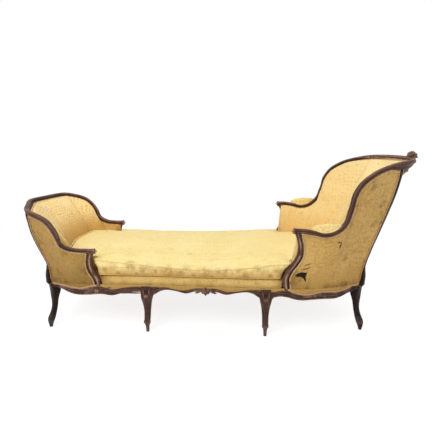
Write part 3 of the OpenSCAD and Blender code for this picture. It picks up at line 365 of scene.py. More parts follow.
def length_of(v):
    return float(np.linalg.norm(v))


def unit(v):
    return v / np.linalg.norm(v)


def level(direction):
    """A direction in plan as one in space."""
    return np.array([direction[0], direction[1], 0.0])


def outward(d):
    return unit(np.array([d[1], -d[0]]))


def beside(d):
    return np.array([-d[1], d[0]])


def both_sides(points):
    """Near side points and their mirror images, met at the middle."""
    turned = [p * ([1, -1, 1] if len(p) == 3 else [1, -1]) for p in points[-2::-1]]
    return points + turned


SWELL = rows([-1.5, 0], [-1, 0.1], [-0.5, 0.45], [0, 0.5], [0.5, 0.55], [1, 0.85], [2, 0.96], [3, 1])
HOLLOW = rows([0, 0], [0.15, 0.02], [0.3, 0.45], [0.55, 0.85], [0.75, 1], [0.88, 0.9], [1, 0])


class Wall:
    """The wall at one end, made for the near side of the head end: where its faces and rails run."""

    def __init__(self, away, side_l, seat_half, corner_half, end_bow, base, tip_x, post_x, arm_half,
                 crest_half, arm_h, crest_h, crest_bow, line, crest, support_back, lean, flare,
                 support, sweep, hollow_by, crest_t):
        corner_x = away + side_l
        support_x = away + support_back
        points = [[away, -seat_half], [(away + support_x) / 2, -seat_half], [support_x, -seat_half]]
        points += [[blend(support_x, corner_x, s[0]), -blend(corner_half, seat_half, s[1])] for s in base]
        points += [[corner_x + end_bow * s[0], -corner_half * s[1]]
                   for s in ((0.36, 0.8), (0.81, 0.43), (1, 0))]
        self.base_points = both_sides(rows(*points))
        points = [[blend(tip_x, post_x, s[0]), -blend(crest_half, arm_half, s[1]),
                   blend(arm_h, crest_h, s[2])] for s in line]
        points += [[post_x + crest_bow * s[0], -crest_half * s[1], blend(arm_h, crest_h, s[2])]
                   for s in crest]
        self.line_points = both_sides(rows(*points))
        self.corner = len(line) - 1
        self.last = len(self.line_points) - 1
        self.middle = self.last / 2
        self.lean, self.flare_by, self.hollow_by, self.crest_t = lean, flare, hollow_by, crest_t
        self.support, self.sweep = support, sweep
        self.bracket = 30 if crest_t > 40 else 0

    @functools.lru_cache(None)
    def base(self, t):
        return spline(self.base_points, t + 2)

    @functools.lru_cache(None)
    def line(self, t):
        return spline(self.line_points, t)

    @functools.lru_cache(None)
    def base_out(self, t):
        return outward(self.base(t + 0.02) - self.base(t - 0.02))

    @functools.lru_cache(None)
    def run(self, t):
        return unit(self.line(t + 0.02) - self.line(t - 0.02))

    @functools.lru_cache(None)
    def line_out(self, t):
        return outward(self.run(t)[:2])

    def up(self, t):
        return np.cross(level(self.line_out(t)), self.run(t))

    def past_corner(self, t):
        """Steps from the nearer corner post towards the middle of the back; less than 0 on the sides."""
        return self.middle - abs(t - self.middle) - self.corner

    def near_middle(self, t):
        return clamp(self.past_corner(t) / (self.middle - self.corner))

    def flare(self, t):
        return self.flare_by * self.near_middle(t) ** 0.7

    def rail_h(self, t):
        past = self.past_corner(t)
        return blend(SHOW_H, self.crest_t, 0 if past <= -1.5 else read(SWELL, past)[1])

    @functools.lru_cache(None)
    def top(self, t, drop):
        f = self.flare(t) * min(1, drop / self.rail_h(t)) ** 3
        return self.line(t) - f * level(self.line_out(t)) - drop * self.up(t)

    def at(self, t, z, drop=0.0):
        """Outer face of the wall at a step and a height."""
        b = self.top(t, drop)
        v = clamp((z - RAIL_TOP) / (b[2] - RAIL_TOP))
        hollow = self.hollow_by * self.near_middle(t) ** 0.35 * read(HOLLOW, v)[1]
        return blend(self.base(t), b[:2], read(self.lean, v)[1]) - hollow * self.line_out(t)

    def out(self, t, z):
        v = clamp((z - RAIL_TOP) / (self.line(t)[2] - RAIL_TOP))
        return unit(blend(self.base_out(t), self.line_out(t), v))

    def cloth_drop(self, t):
        return self.rail_h(t) + 1

    def step_l(self, t):
        return length_of(self.base(t + 1) - self.base(t))

    def support_top(self):
        return self.line(0)[2] - SHOW_H - 0.5

    def support_share(self, z):
        return (z - RAIL_TOP) / (self.support_top() - RAIL_TOP)

    def support_plan(self, s):
        """Middle of the arm support, its outer face and half its width, at a share of its height."""
        row = read(self.support, s)
        face = blend(self.base(0)[1], self.line(0.5)[1], s)
        return self.base(0)[0] + self.sweep * row[1], face, SUPPORT_HALF_W * row[2]


head_wall = Wall(
    264.5, 518, 370, 268, 45,
    [[0.087, 1.02], [0.186, 1], [0.297, 0.96], [0.408, 0.89], [0.507, 0.81], [0.594, 0.725],
     [0.67, 0.625], [0.738, 0.52], [0.801, 0.41], [0.865, 0.29], [1, 0]],
    264.5 + 108 + 19, 264.5 + 518 + 172, 379, 238, 571, 922, 158,
    [[0, 0.957, 0.056], [0.089, 0.986, 0.056], [0.187, 1, 0.034], [0.284, 1, 0], [0.385, 1, 0.045],
     [0.464, 0.957, 0.171], [0.503, 0.899, 0.356], [0.533, 0.855, 0.557], [0.607, 0.746, 0.728],
     [0.739, 0.536, 0.863], [0.885, 0.239, 0.941], [1, 0, 0.978]],
    [[0.41, 0.8, 0.993], [0.8, 0.435, 1], [1, 0, 1]], 108,
    rows([0, 0], [0.1, 0.03], [0.18, 0.1], [0.27, 0.2], [0.44, 0.415], [0.61, 0.635], [0.8, 0.86], [1, 1]),
    38,
    rows([0, 0, 1], [0.09, -0.11, 1.2], [0.21, -0.13, 1.15], [0.33, 0.11, 1.2], [0.44, 0.51, 1.15],
         [0.58, 0.9, 1.1], [0.7, 1, 1], [0.82, 0.95, 0.92], [0.93, 0.8, 0.98], [1, 0.69, 1.25]),
    61, 60, 54)
foot_wall = Wall(
    370.5, 539, 338, 283, 60,
    [[0.14, 0.94], [0.27, 0.895], [0.39, 0.85], [0.5, 0.79], [0.6, 0.715], [0.7, 0.61], [0.8, 0.49], [1, 0]],
    370.5 + 258 + 9.5, 370.5 + 539 + 89, 353, 290, 462, 668, 120,
    [[0, 0.73, 0], [0.139, 0.68, 0], [0.292, 0.75, 0.02], [0.431, 0.92, 0.128], [0.491, 1, 0.327],
     [0.573, 0.9, 0.561], [0.689, 0.68, 0.766], [0.85, 0.37, 0.888], [1, 0, 0.956]],
    [[0.275, 0.851, 0.985], [0.65, 0.45, 1], [1, 0, 1]], 258,
    rows([0, 0], [0.14, 0.01], [0.28, 0.09], [0.45, 0.38], [0.59, 0.62], [0.73, 0.81], [0.9, 0.94], [1, 1]),
    10,
    rows([0, 0, 1], [0.1, 0, 1], [0.23, 0.18, 1.15], [0.4, 0.65, 1.15], [0.58, 0.95, 1.05], [0.77, 1, 1],
         [0.92, 0.88, 1.05], [1, 0.75, 1.3]),
    40, 38, 20)
CENTRE = rows([-628.5, -338], [-370.5, -338], [-53, -354], [264.5, -370], [372.5, -370])
ENDS = (("foot", foot_wall, True), ("head", head_wall, False))
SIDES = (("near", False), ("far", True))


def centre(t):
    return spline(CENTRE, t)


def centre_out(t):
    return outward(centre(t + 0.02) - centre(t - 0.02))


def mirrored(points, foot, far):
    """Points made for the near side of the head end, turned to another end or side."""
    return points * [-1 if foot else 1, -1 if far else 1, 1]


def running(steps):
    """Length run so far at each mark between steps."""
    return np.concatenate([[0], np.cumsum(steps)])


def angles(count):
    return np.linspace(0, 2 * math.pi, count + 1)[:-1]


def loft(rings, foot=False, far=False, strip=False, ends=True):
    """A tube through rings of points: its points in metres, faces, and surface coordinates in metres."""
    p = mirrored(np.array(rings, float) / 1000, foot, far)
    m, n = p.shape[:2]
    steps = np.linalg.norm(p[1:] - p[:-1], axis=2).mean(axis=1)
    u = running(steps)
    wrapped = np.concatenate([p, p[:, :1]], axis=1)
    v = running(np.linalg.norm(wrapped[:, 1:] - wrapped[:, :-1], axis=2).mean(axis=0))
    faces, coords = [], []
    for k in range(m - 1):
        for i in range(n):
            j = (i + 1) % n
            faces.append((k * n + i, k * n + j, (k + 1) * n + j, (k + 1) * n + i))
            coords.append(((u[k], v[i]), (u[k], v[i + 1]), (u[k + 1], v[i + 1]), (u[k + 1], v[i])))
    for k in (0, m - 1) if ends else ():
        if strip:
            for i in range(n // 2 - 1):
                faces.append((k * n + i, k * n + i + 1, k * n + n - 2 - i, k * n + n - 1 - i))
                across = u[k] + length_of(p[k, i] - p[k, n - 1 - i])
                coords.append(((u[k], v[i]), (u[k], v[i + 1]), (across, v[i + 1]), (across, v[i])))
        else:
            flat = p[k] - p[k].mean(axis=0)
            a = unit(flat[0])
            b = unit(np.cross(a, np.cross(a, flat[n // 3])))
            faces.append(tuple(range(k * n, k * n + n)))
            coords.append(tuple((float(q @ a), float(q @ b)) for q in flat))
    return p.reshape(-1, 3), faces, coords


def joined(*parts):
    points, faces, coords, count = [], [], [], 0
    for p, f, c in parts:
        points.append(p)
        faces += [tuple(i + count for i in face) for face in f]
        coords += c
        count += len(p)
    return np.concatenate(points), faces, coords


def solid(name, part, material, body="frame", node=None, slot="walnut", sharp=38):
    """A finished piece from a part: shaded smoothly, painted, and riding on its body."""
    points, faces, coords = part
    mesh = bpy.data.meshes.new(name)
    mesh.from_pydata([tuple(p) for p in points], [], faces)
    layer = mesh.uv_layers.new(name="surface")
    layer.data.foreach_set("uv", [value for face in coords for pair in face for value in pair])
    work = bmesh.new()
    work.from_mesh(mesh)
    bmesh.ops.recalc_face_normals(work, faces=work.faces)
    raised = work.verts.layers.float.new("raised")
    for v in work.verts:
        around = [e.other_vert(v).co for e in v.link_edges]
        middle = sum(around, Vector()) / max(1, len(around))
        reach = sum((c - v.co).length for c in around) / max(1, len(around))
        v[raised] = clamp((v.co - middle).dot(v.normal) / max(reach, 1e-6) * 2.5, -1, 1)
        if any(len(f.verts) > 12 for f in v.link_faces):
            v[raised] = 0
    work.to_mesh(mesh)
    work.free()
    for polygon in mesh.polygons:
        polygon.use_smooth = True
    mesh.set_sharp_from_angle(angle=math.radians(sharp))
    mesh.materials.append(material)
    piece = bpy.data.objects.new(name, mesh)
    bpy.context.collection.objects.link(piece)
    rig.ride(piece, body)
    if node:
        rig.replaces(piece, *([node] if isinstance(node, str) else node))
    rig.slot(piece, slot)
    return piece


# The eight legs. Each is cut from one walnut block: a cabriole with a carved shield on its knee, a
# slim ankle and a scroll toe standing on a small pad. The corner legs run on upwards as the posts
# of the walls. The wood is dark and polished by hands on its edges, which are painted pale for that
# wear and for a painted highlight. Its upward faces are painted lighter as a highlight, its hollows
# are painted dark as shade, and it is grey and dry at the feet. The corner legs and posts take a
# darker copy of the walnut, as painted shade.
BLOCK_D = 25.0
BLOCK_W = 26.0


def walnut_paint(name, dark, middle, light, wear, rough, gloss):
    """Oiled walnut: long grain, darker pores, pale edges that are wear and a painted highlight, a painted
    highlight on the upward faces, painted shade in the hollows, dry feet.
    """
    material = bpy.data.materials.new(name)
    paint = Paint(material)
    place = paint.add("ShaderNodeTexCoord")
    spot = place.outputs["Object"]
    raised = paint.add("ShaderNodeAttribute", attribute_name="raised").outputs["Fac"]
    surface = place.outputs["UV"]
    drift = paint.add("ShaderNodeTexNoise", {"Vector": spot, "Scale": 5.0, "Detail": 2.0}).outputs["Color"]
    wander = paint.vector("ADD", surface, paint.scaled(drift, (0.02, 0.02, 0.02)))
    grain = paint.noise(paint.scaled(wander, (9, 230, 1)), 1.0, 6.0, 0.6)
    pores = paint.noise(paint.scaled(wander, (40, 1600, 1)), 1.0, 2.0, 0.5)
    tone = paint.mix(paint.ramp(grain, 0.3, 0.72), dark, middle)
    tone = paint.over(tone, light, paint.cloudy(spot, 7.0, 0.45, 0.75, 3.0), 0.45)
    tone = paint.over(tone, tuple(0.3 * c for c in dark[:3]) + (1,), paint.ramp(pores, 0.56, 0.7), 0.35)
    # Pale on convex edges: partly real wear, partly a painted highlight where the polish catches the light.
    wear_and_highlight = paint.times(paint.ramp(raised, 0.06, 0.4), paint.cloudy(spot, 26.0, 0.32, 0.6))
    tone = paint.over(tone, colour(196, 158, 136), wear_and_highlight, wear)
    # Painted highlight: faces that look upwards are painted lighter, for the light that falls on them from above.
    upwards = paint.ramp(paint.part(place.outputs["Normal"], 2), 0.35, 0.95)
    painted_top_highlight = paint.times(upwards, paint.cloudy(spot, 12.0, 0.3, 0.7))
    tone = paint.over(tone, colour(164, 124, 102), painted_top_highlight, 0.5 * wear)
    # Painted shade: the hollows are painted near black, for the shade that falls in them.
    tone = paint.over(tone, colour(26, 15, 11), paint.ramp(raised, -0.04, -0.3), 0.85)
    dry = paint.times(paint.ramp(paint.part(spot, 2), 0.13, 0.02), paint.cloudy(spot, 28.0, 0.35, 0.6))
    tone = paint.over(tone, colour(120, 112, 104), dry, 0.3)
    paint.finish(tone, paint.plus(rough, paint.times(grain, 0.16)), paint.plus(grain, pores), 0.12, 0.0006,
                 Specular_IOR_Level=gloss)
    return material


walnut = walnut_paint("walnut", colour(50, 27, 18), colour(88, 54, 39), colour(122, 84, 64), 0.7, 0.4, 0.24)
walnut_front = walnut_paint("walnut_front_legs", colour(46, 25, 17), colour(80, 49, 36), colour(112, 78, 60),
                            0.45, 0.42, 0.22)
# The corner legs and posts take a darker copy of the walnut, as painted shade.
shaded_corner_walnut = walnut_paint("walnut_posts_painted_shade", colour(14, 7, 5), colour(34, 19, 14), colour(60, 38, 30),
                             0.32, 0.42, 0.14)

MID_LEG = rows(
    [0, 1, 0.34, 0.32, 0.8], [0.1, 1, 0.38, 0.37, 0.8], [0.14, 1, 0.45, 0.42, 0.8],
    [0.18, 1, 0.6, 0.55, 0.8], [0.25, 0.85, 0.68, 0.63, 0.8], [0.34, 0.5, 0.64, 0.66, 0.8],
    [0.42, 0.25, 0.62, 0.68, 0.75], [0.5, 0.15, 0.68, 0.76, 0.7], [0.6, 0.22, 0.88, 0.87, 0.6],
    [0.67, 0.32, 1.04, 0.98, 0.5], [0.73, 0.34, 1.1, 1.14, 0.4], [0.79, 0.24, 1.08, 1.26, 0.3],
    [0.86, 0.12, 1.04, 1.2, 0.25], [0.93, 0.1, 1.02, 1.08, 0.2], [1, 0.08, 1, 1, 0.15])
CORNER_LEG = rows(
    [0, 1, 0.34, 0.34, 0.8], [0.06, 0.99, 0.46, 0.46, 0.8], [0.12, 0.95, 0.62, 0.6, 0.8],
    [0.165, 0.88, 0.74, 0.7, 0.8], [0.21, 0.77, 0.76, 0.7, 0.8], [0.26, 0.64, 0.72, 0.68, 0.8],
    [0.33, 0.46, 0.65, 0.63, 0.8], [0.42, 0.29, 0.61, 0.61, 0.75], [0.5, 0.2, 0.62, 0.64, 0.7],
    [0.6, 0.15, 0.7, 0.74, 0.62], [0.7, 0.08, 0.86, 0.88, 0.45], [0.78, 0, 0.97, 0.97, 0.25],
    [0.86, -0.01, 1, 1, 0.15], [0.92, 0.06, 1, 1, 0.15], [0.96, 0.26, 1, 1, 0.15], [0.999, 0.42, 1, 1, 0.15])
KNUCKLE = rows([0, 1, 1.12], [0.5, 0.78, 1.16], [1, 0.42, 1.06], [1.5, 0.12, 0.58], [2, 0, 0.05])


def block_ring(middle, out, half_d, half_w, roundness, z, relief=None, count=44):
    """Ring of a rounded block; relief gives how far each point of its front stands out."""
    along = beside(out)
    power = blend(0.24, 0.95, roundness)
    ring = []
    for i in range(count):
        a = 2 * math.pi * (i + 0.5) / count
        s = math.copysign(abs(math.cos(a)) ** power, math.cos(a))
        n = math.copysign(abs(math.sin(a)) ** power, math.sin(a))
        front = clamp(n) ** 2
        stand = relief(s) * front if relief else 0
        p = middle + s * half_w * along + (n * half_d + stand) * out
        ring.append([p[0], p[1], z])
    return ring


def bump_at(x, middle, width):
    return math.exp(-((x - middle) / width) ** 2)


def leg_relief(share, shield):
    """Carving on the front of a leg at a share of its height: edge beads, and a shield on the knee."""
    def relief(s):
        stand = 0.0
        if share > 0.3:
            edge = clamp((share - 0.3) / 0.1) * clamp((1.0 - share) / 0.02)
            stand += edge * (1.0 * bump_at(abs(s), 0.9, 0.1) - 1.1 * bump_at(abs(s), 0.68, 0.09))
        if shield and share > 0.58:
            h = (share - 0.58) / 0.42
            fade = clamp(h / 0.15)
            arms = bump_at(abs(s), 0.08 + 1.05 * clamp(h - 0.3), 0.1)
            stand += fade * (2.2 * arms * clamp((h - 0.3) / 0.2) - 0.8)
        if 0.14 < share < 0.27:
            stand += 1.2 * bump_at(abs(s), 0.45, 0.2) * bump_at(share, 0.215, 0.03)
        return stand
    return relief


def leg_rings(table, face, out, kick, shield, top=1.0, count=66):
    rings = []
    for k in range(count):
        share = top * k / (count - 1)
        row = read(table, share)
        middle = face + (kick * row[1] - BLOCK_D) * out
        rings.append(block_ring(middle, out, BLOCK_D * row[2], BLOCK_W * row[3], row[4], RAIL_TOP * share,
                                leg_relief(share, shield)))
    return rings


def tube(path, radius, sides=8):
    """Round rod along a path; radius may be a list with a value for each point."""
    path = [np.array(p, float) for p in path]
    rings = []
    for k, p in enumerate(path):
        d = unit(path[min(k + 1, len(path) - 1)] - path[max(k - 1, 0)])
        side = unit(np.cross(d, [0.31, 0.17, 0.94]))
        lift = np.cross(side, d)
        r = radius[k] if isinstance(radius, list) else radius
        rings.append([p + r * (math.cos(a) * side + math.sin(a) * lift)
                      for a in (2 * math.pi * i / sides for i in range(sides))])
    return rings


def toe_scroll(face, out, kick, side):
    """Spiral carved on one side of a toe."""
    along = beside(out)
    middle = face + (kick - BLOCK_D + 4) * out + side * 15.6 * along
    path = []
    for k in range(26):
        a = 2 * math.pi * 1.5 * k / 25
        r = 10.5 - 8 * k / 25
        p = middle + r * math.cos(a) * out
        path.append([p[0], p[1], 56 + r * math.sin(a)])
    return tube(path, [1.9 - 0.7 * k / 25 for k in range(26)], 6)


def post_half(z):
    return blend(12, 19.5, max(0, read(KNUCKLE, (z - RAIL_TOP) / 51)[1]))


def post_ring(wall, z, count=44):
    row = read(KNUCKLE, (z - RAIL_TOP) / 51)
    c = wall.corner
    out = wall.out(c, z)
    bulge = 15 * max(0, row[2])
    depth = blend(34, 50, max(0, row[1]) ** 2)
    middle = wall.at(c, z, wall.cloth_drop(c)) + (bulge - depth) / 2 * out
    bead = clamp((z - 270) / 40)

    def relief(s):
        return bead * (1.2 * bump_at(abs(s), 0.88, 0.12) - 1.5 * bump_at(abs(s), 0.6, 0.12)
                       + 0.8 * bump_at(s, 0, 0.35))
    return block_ring(middle, out, (depth + bulge) / 2, post_half(z), 0.18, z, relief, count)


def corner_leg_rings(wall):
    c = wall.corner
    rings = leg_rings(CORNER_LEG, wall.base(c), wall.base_out(c), 40, False, 0.992, 80)
    d = wall.run(c)
    slope = d[2] / np.linalg.norm(d[:2])
    top = wall.line(c)[2] - wall.rail_h(c) * math.sqrt(1 + slope ** 2) - 2.2
    count = 44
    rings += [post_ring(wall, blend(RAIL_TOP, top, k / count)) for k in range(count)]
    at, way = wall.line(c)[:2], unit(d[:2])
    last = post_ring(wall, top)
    rings.append([[p[0], p[1], p[2] + slope * float((np.array(p[:2]) - at) @ way)] for p in last])
    return rings


for end, wall, foot in ENDS:
    step = 1 if foot else 3
    for side, far in SIDES:
        face, out = centre(step), centre_out(step)
        parts = [loft(leg_rings(MID_LEG, face, out, 20, True), far=far)]
        parts += [loft(toe_scroll(face, out, 20, k), far=far) for k in (-1, 1)]
        solid(f"mid_leg_{end}_{side}_carved", joined(*parts), walnut_front, node=f"mid_leg_{end}_{side}")
        solid(f"corner_leg_{end}_{side}_carved", loft(corner_leg_rings(wall), foot, far), shaded_corner_walnut,
              node=f"corner_leg_{end}_{side}")

# The seat rails. Shaped walnut boards between the legs, with a rebate for the seat cover, a bead
# along the waved lower edge and another under the cover. Leaves are carved where each side rail
# bellies out, and a flower on each centre rail. Inside they are plain and dusty.
UNDER = {
    "centre": rows([0, 1], [0.05, 0.72], [0.11, 0.39], [0.17, 0.27], [0.25, 0.37], [0.33, 0.55],
                   [0.41, 0.35], [0.46, 0.4], [0.5, 0.61], [0.54, 0.4], [0.59, 0.35], [0.67, 0.55],
                   [0.75, 0.37], [0.83, 0.27], [0.89, 0.39], [0.95, 0.72], [1, 1]),
    "foot": rows([0, 0.96], [0.05, 0.6], [0.12, 0.52], [0.23, 0.62], [0.34, 0.87], [0.45, 0.76],
                 [0.59, 0.87], [0.7, 0.89], [0.79, 0.74], [0.88, 0.42], [1, 0.3]),
    "head": rows([0, 1], [0.06, 0.75], [0.14, 0.58], [0.22, 0.66], [0.29, 0.82], [0.37, 0.92], [0.47, 0.88],
                 [0.58, 0.88], [0.66, 0.92], [0.75, 0.88], [0.85, 0.62], [1, 0.34]),
    "end": rows([0, 0.3], [0.25, 0.42], [0.5, 0.6], [0.75, 0.42], [1, 0.3])}
SHOW = {
    "centre": rows([0, 0.5], [0.07, 0.15], [0.16, 0.1], [0.25, 0.75], [0.33, 0.95], [0.41, 0.25], [0.5, 0],
                   [0.59, 0.25], [0.67, 0.95], [0.75, 0.75], [0.84, 0.1], [0.93, 0.15], [1, 0.5]),
    "foot": rows([0, 0.1], [0.11, 0.15], [0.23, 0.55], [0.34, 1.1], [0.42, 0.5], [0.5, 0], [0.58, 0.6],
                 [0.67, 1.2], [0.78, 0.75], [0.89, 0.4], [1, 0.4]),
    "head": rows([0, 0.9], [0.1, 0.5], [0.2, 0], [0.29, 0.9], [0.37, 1.5], [0.46, 1.4], [0.55, 0.9],
                 [0.64, 1.0], [0.74, 1.2], [0.83, 0.7], [0.92, 0], [1, 0]),
    "end": rows([0, 0], [0.5, 0.3], [1, 0])}


def rail_ring(face, out, kind, share, depth=50):
    bottom = RAIL_TOP - 62 * read(UNDER[kind], share)[1]
    line = min(258.5, RAIL_TOP - 18 * read(SHOW[kind], share)[1])
    k = min(1, (line - bottom) / 26)
    outline = [
        [-8, line], [-8, RAIL_TOP], [-depth, RAIL_TOP], [-depth, bottom], [-7.5, bottom],
        [-4.5, bottom + 0.6 * k], [-2.6, bottom + 2.2 * k], [-2, bottom + 4.4 * k],
        [-2.8, bottom + 6.6 * k], [-4.6, bottom + 8 * k], [-6.4, bottom + 8.8 * k],
        [-6.6, bottom + 10.4 * k], [-5.4, blend(bottom, line, 0.5)], [-6.2, line - 9.2 * k],
        [-6.2, line - 8 * k], [-4.2, line - 7 * k], [-2.5, line - 5.4 * k], [-2, line - 3.6 * k],
        [-2.6, line - 1.6 * k], [-4.4, line - 0.3 * k]]
    return [[*(face + d * out), z] for d, z in outline]


def rail_end(face, out, along, kind, share, depth=50):
    return rail_ring(face + along * beside(out), out, kind, share, depth)


def leaf(place, length, width, relief, lobes=3.5, turn=0.0, bend=0.0):
    """Carved leaf. place(x, y, z) sets a point of it on the wood: x and y across it, z outwards."""
    rings = []
    for k in range(17):
        s = k / 16
        scallop = 1 - 0.24 * abs(math.sin(math.pi * lobes * s))
        half = width / 2 * math.sin(math.pi * clamp(s, 0.03, 0.985)) ** 0.75 * scallop
        rise = relief * (0.45 + 0.55 * math.sin(math.pi * clamp(s * 0.9 + 0.1)))
        ring = []
        for i in range(11):
            c = -1 + 2 * i / 10
            z = rise * (1 - c * c) ** 0.55 - 0.3 * relief * bump_at(c, 0, 0.16)
            z += 0.25 * relief * bump_at(abs(c), 0.35, 0.2)
            ring.append((length * s, c * half + bend * s * s, z - 0.4))
        ring += [(length * s, c * half + bend * s * s, -2.5) for c in (0.9, -0.9)]
        cos, sin = math.cos(turn), math.sin(turn)
        rings.append([place(x * cos - y * sin, x * sin + y * cos, z) for x, y, z in ring])
    return rings


def leaves(place, marks, relief, lobes, foot=False, far=False):
    """Leaves that run both ways from one place; marks are the length, width, turn and start of each."""
    return [loft(leaf(lambda x, y, z: place(way * (x + start), y, z), length, width, relief, lobes, turn),
                 foot, far) for way in (-1, 1) for length, width, turn, start in marks]


def on_wall(wall, t, z0):
    """Places a carving on the face of a side rail at a step and a height."""
    def place(x, y, z):
        s = t + x / wall.step_l(t)
        return [*(wall.base(s) + (z - 5.2) * wall.base_out(s)), z0 + y]
    return place


def on_centre(t, z0):
    length = length_of(centre(t + 0.5) - centre(t - 0.5))

    def place(x, y, z):
        s = t + x / length
        return [*(centre(s) + (z - 5.2) * centre_out(s)), z0 + y]
    return place


def side_share(wall, t):
    a, b = wall.base(-2)[0], wall.base(wall.corner)[0]
    return (wall.base(t)[0] - a) / (b - a)


def step_near(wall, share):
    """Step of the wall at a share of its side rail."""
    low_t, high_t = -2.0, float(wall.corner)
    for _ in range(24):
        middle = (low_t + high_t) / 2
        low_t, high_t = (middle, high_t) if side_share(wall, middle) < share else (low_t, middle)
    return low_t


for side, far in SIDES:
    inset = 42 / (635 / 2)
    rings = [rail_end(centre(1), centre_out(1), 26.3, "centre", 0)]
    for i in range(97):
        f = i / 96
        t = blend(1 + inset, 3 - inset, f)
        rings.append(rail_ring(centre(t), centre_out(t), "centre", blend(0.04, 0.96, f)))
    rings.append(rail_end(centre(3), centre_out(3), -26.3, "centre", 1))
    parts = [loft(rings, far=far)]
    marks = ((52, 15, 0.1, 20), (38, 12, -0.28, 24), (30, 10, 0.5, 18))
    parts += leaves(on_centre(2, 240), marks, 3.4, 2.5, far=far)
    solid(f"seat_rail_centre_{side}_moulded", joined(*parts), walnut, node=f"seat_rail_centre_{side}")

for end, wall, foot in ENDS:
    leg_out = centre_out(1 if foot else 3) * ([-1, 1] if foot else [1, 1])
    c = wall.corner
    first = 42 / wall.step_l(-2) - 2
    final, bend = c - 72 / wall.step_l(c - 1), c - 44 / wall.step_l(c - 1)
    for side, far in SIDES:
        rings = [rail_end(wall.base(-2), leg_out, 26.3, end, 0)]
        for i in range(97):
            t = blend(first, final, i / 96)
            rings.append(rail_ring(wall.base(t), wall.base_out(t), end, side_share(wall, t)))
        rings.append(rail_ring(wall.base(bend), wall.base_out(bend), end, side_share(wall, bend), 16))
        rings.append(rail_end(wall.base(c), wall.base_out(c), -26.3, end, 1, 28))
        parts = [loft(rings, foot, far)]
        belly = step_near(wall, 0.5)
        marks = ((62, 19, 0.22, 6), (58, 15, -0.16, 8), (34, 13, 0.75, 0))
        parts += leaves(on_wall(wall, belly, 229), marks, 4.2, 3.5, foot, far)
        upright = on_wall(wall, belly, 217)
        parts.append(loft(leaf(lambda x, y, z: upright(y, x, z), 30, 22, 5.4, 2.5), foot, far))
        solid(f"seat_rail_{end}_{side}_moulded", joined(*parts), walnut, node=f"seat_rail_{end}_{side}")
    d = wall.last - c
    apart = 64 / wall.step_l(c)
    rings = [rail_end(wall.base(c), wall.base_out(c), 26.3, "end", 0, 28)]
    for i in range(49):
        t = blend(c + apart, d - apart, i / 48)
        rings.append(rail_ring(wall.base(t), wall.base_out(t), "end", blend(0.1, 0.9, i / 48)))
    rings.append(rail_end(wall.base(d), wall.base_out(d), -26.3, "end", 1, 28))
    solid(f"end_rail_{end}_moulded", loft(rings, foot), walnut, node=f"end_rail_{end}")

# The flower on each centre rail: two rings of petals round a button, carved from a scrap of the
# same walnut and glued on over the middle of the rail.
for side, far in SIDES:
    parts = []
    place = on_centre(2, 241)
    for reach, stand, lift, turned in ((22, 0.5, 3.6, 0.0), (15, 3.2, 4.4, 0.5)):
        for k in range(6):
            a = 2 * math.pi * (k + turned) / 6

            def petal(x, y, z):
                return place((x + 2) * math.sin(a) + y * math.cos(a),
                             (x + 2) * math.cos(a) - y * math.sin(a), z + stand + 3.4)
            parts.append(loft(leaf(petal, reach, reach * 0.62, lift, 1.5), far=far))
    button = [[place(r * math.cos(a), r * math.sin(a), z) for a in angles(16)]
              for r, z in ((6.2, 2), (6.2, 8), (5, 10.6), (3, 12), (0.8, 12.4))]
    parts.append(loft(button, far=far))
    solid(f"rail_flower_{side}_carved", joined(*parts), walnut, node=f"rail_flower_{side}")

# The arm supports and the show rails. Supports sweep forward in an S and are moulded down their
# front; the rails carry one moulding from the scroll at each arm tip, over the arm and up the wing
# to the corner post. The crest rail is a separate piece between the posts, deeper at the head end.
SECTION = [
    [-0.5, -1], [-0.2, -1], [-0.1, -0.97], [-0.045, -0.9], [-0.03, -0.82], [-0.06, -0.73], [-0.115, -0.67],
    [-0.125, -0.6], [-0.1, -0.53], [-0.04, -0.49], [-0.005, -0.42], [0, -0.34], [-0.01, -0.26],
    [-0.045, -0.19], [-0.1, -0.16], [-0.13, -0.1], [-0.2, -0.02], [-0.32, 0.0], [-0.48, 0.01], [-0.64, 0.0],
    [-0.74, -0.03], [-0.79, -0.11], [-0.83, -0.13], [-0.9, -0.1], [-0.97, -0.18], [-1, -0.3],
    [-0.985, -0.45], [-0.955, -0.66], [-0.95, -1.1], [-0.85, -1.26]]


def rail_section(wall, t, width, height):
    p, n, u = wall.line(t), level(wall.line_out(t)), wall.up(t)
    h, f = wall.rail_h(t), wall.flare(t)
    deeper = wall.bracket * bump_at(wall.past_corner(t), 0.35, 0.62) / h
    found = []
    for across, down in SECTION:
        down = blend(-0.5, down, height)
        if across < -0.7 and down < -0.5:
            down = down * min(1, SHOW_H / h * 1.15)
        drop = down * h * (1 + (deeper * abs(down) ** 2 if across > -0.7 else 0))
        found.append(p + (blend(-0.5, across, width) * SHOW_W - f * abs(down) ** 3) * n + drop * u)
    return found


def spaced(a, b, gap):
    count = max(2, int(round((b - a) / gap)))
    return [blend(a, b, k / count) for k in range(count + 1)]


def support_ring(wall, s):
    x, face, half = wall.support_plan(s)

    def relief(c):
        return (1.0 * bump_at(abs(c), 0.86, 0.16) - 1.3 * bump_at(abs(c), 0.55, 0.14)
                + 0.7 * bump_at(c, 0, 0.35))
    return block_ring(np.array([x, face + 2 + 15]), np.array([0, -1.0]), 15, half, 0.4,
                      blend(RAIL_TOP, wall.support_top(), s), relief, 36)


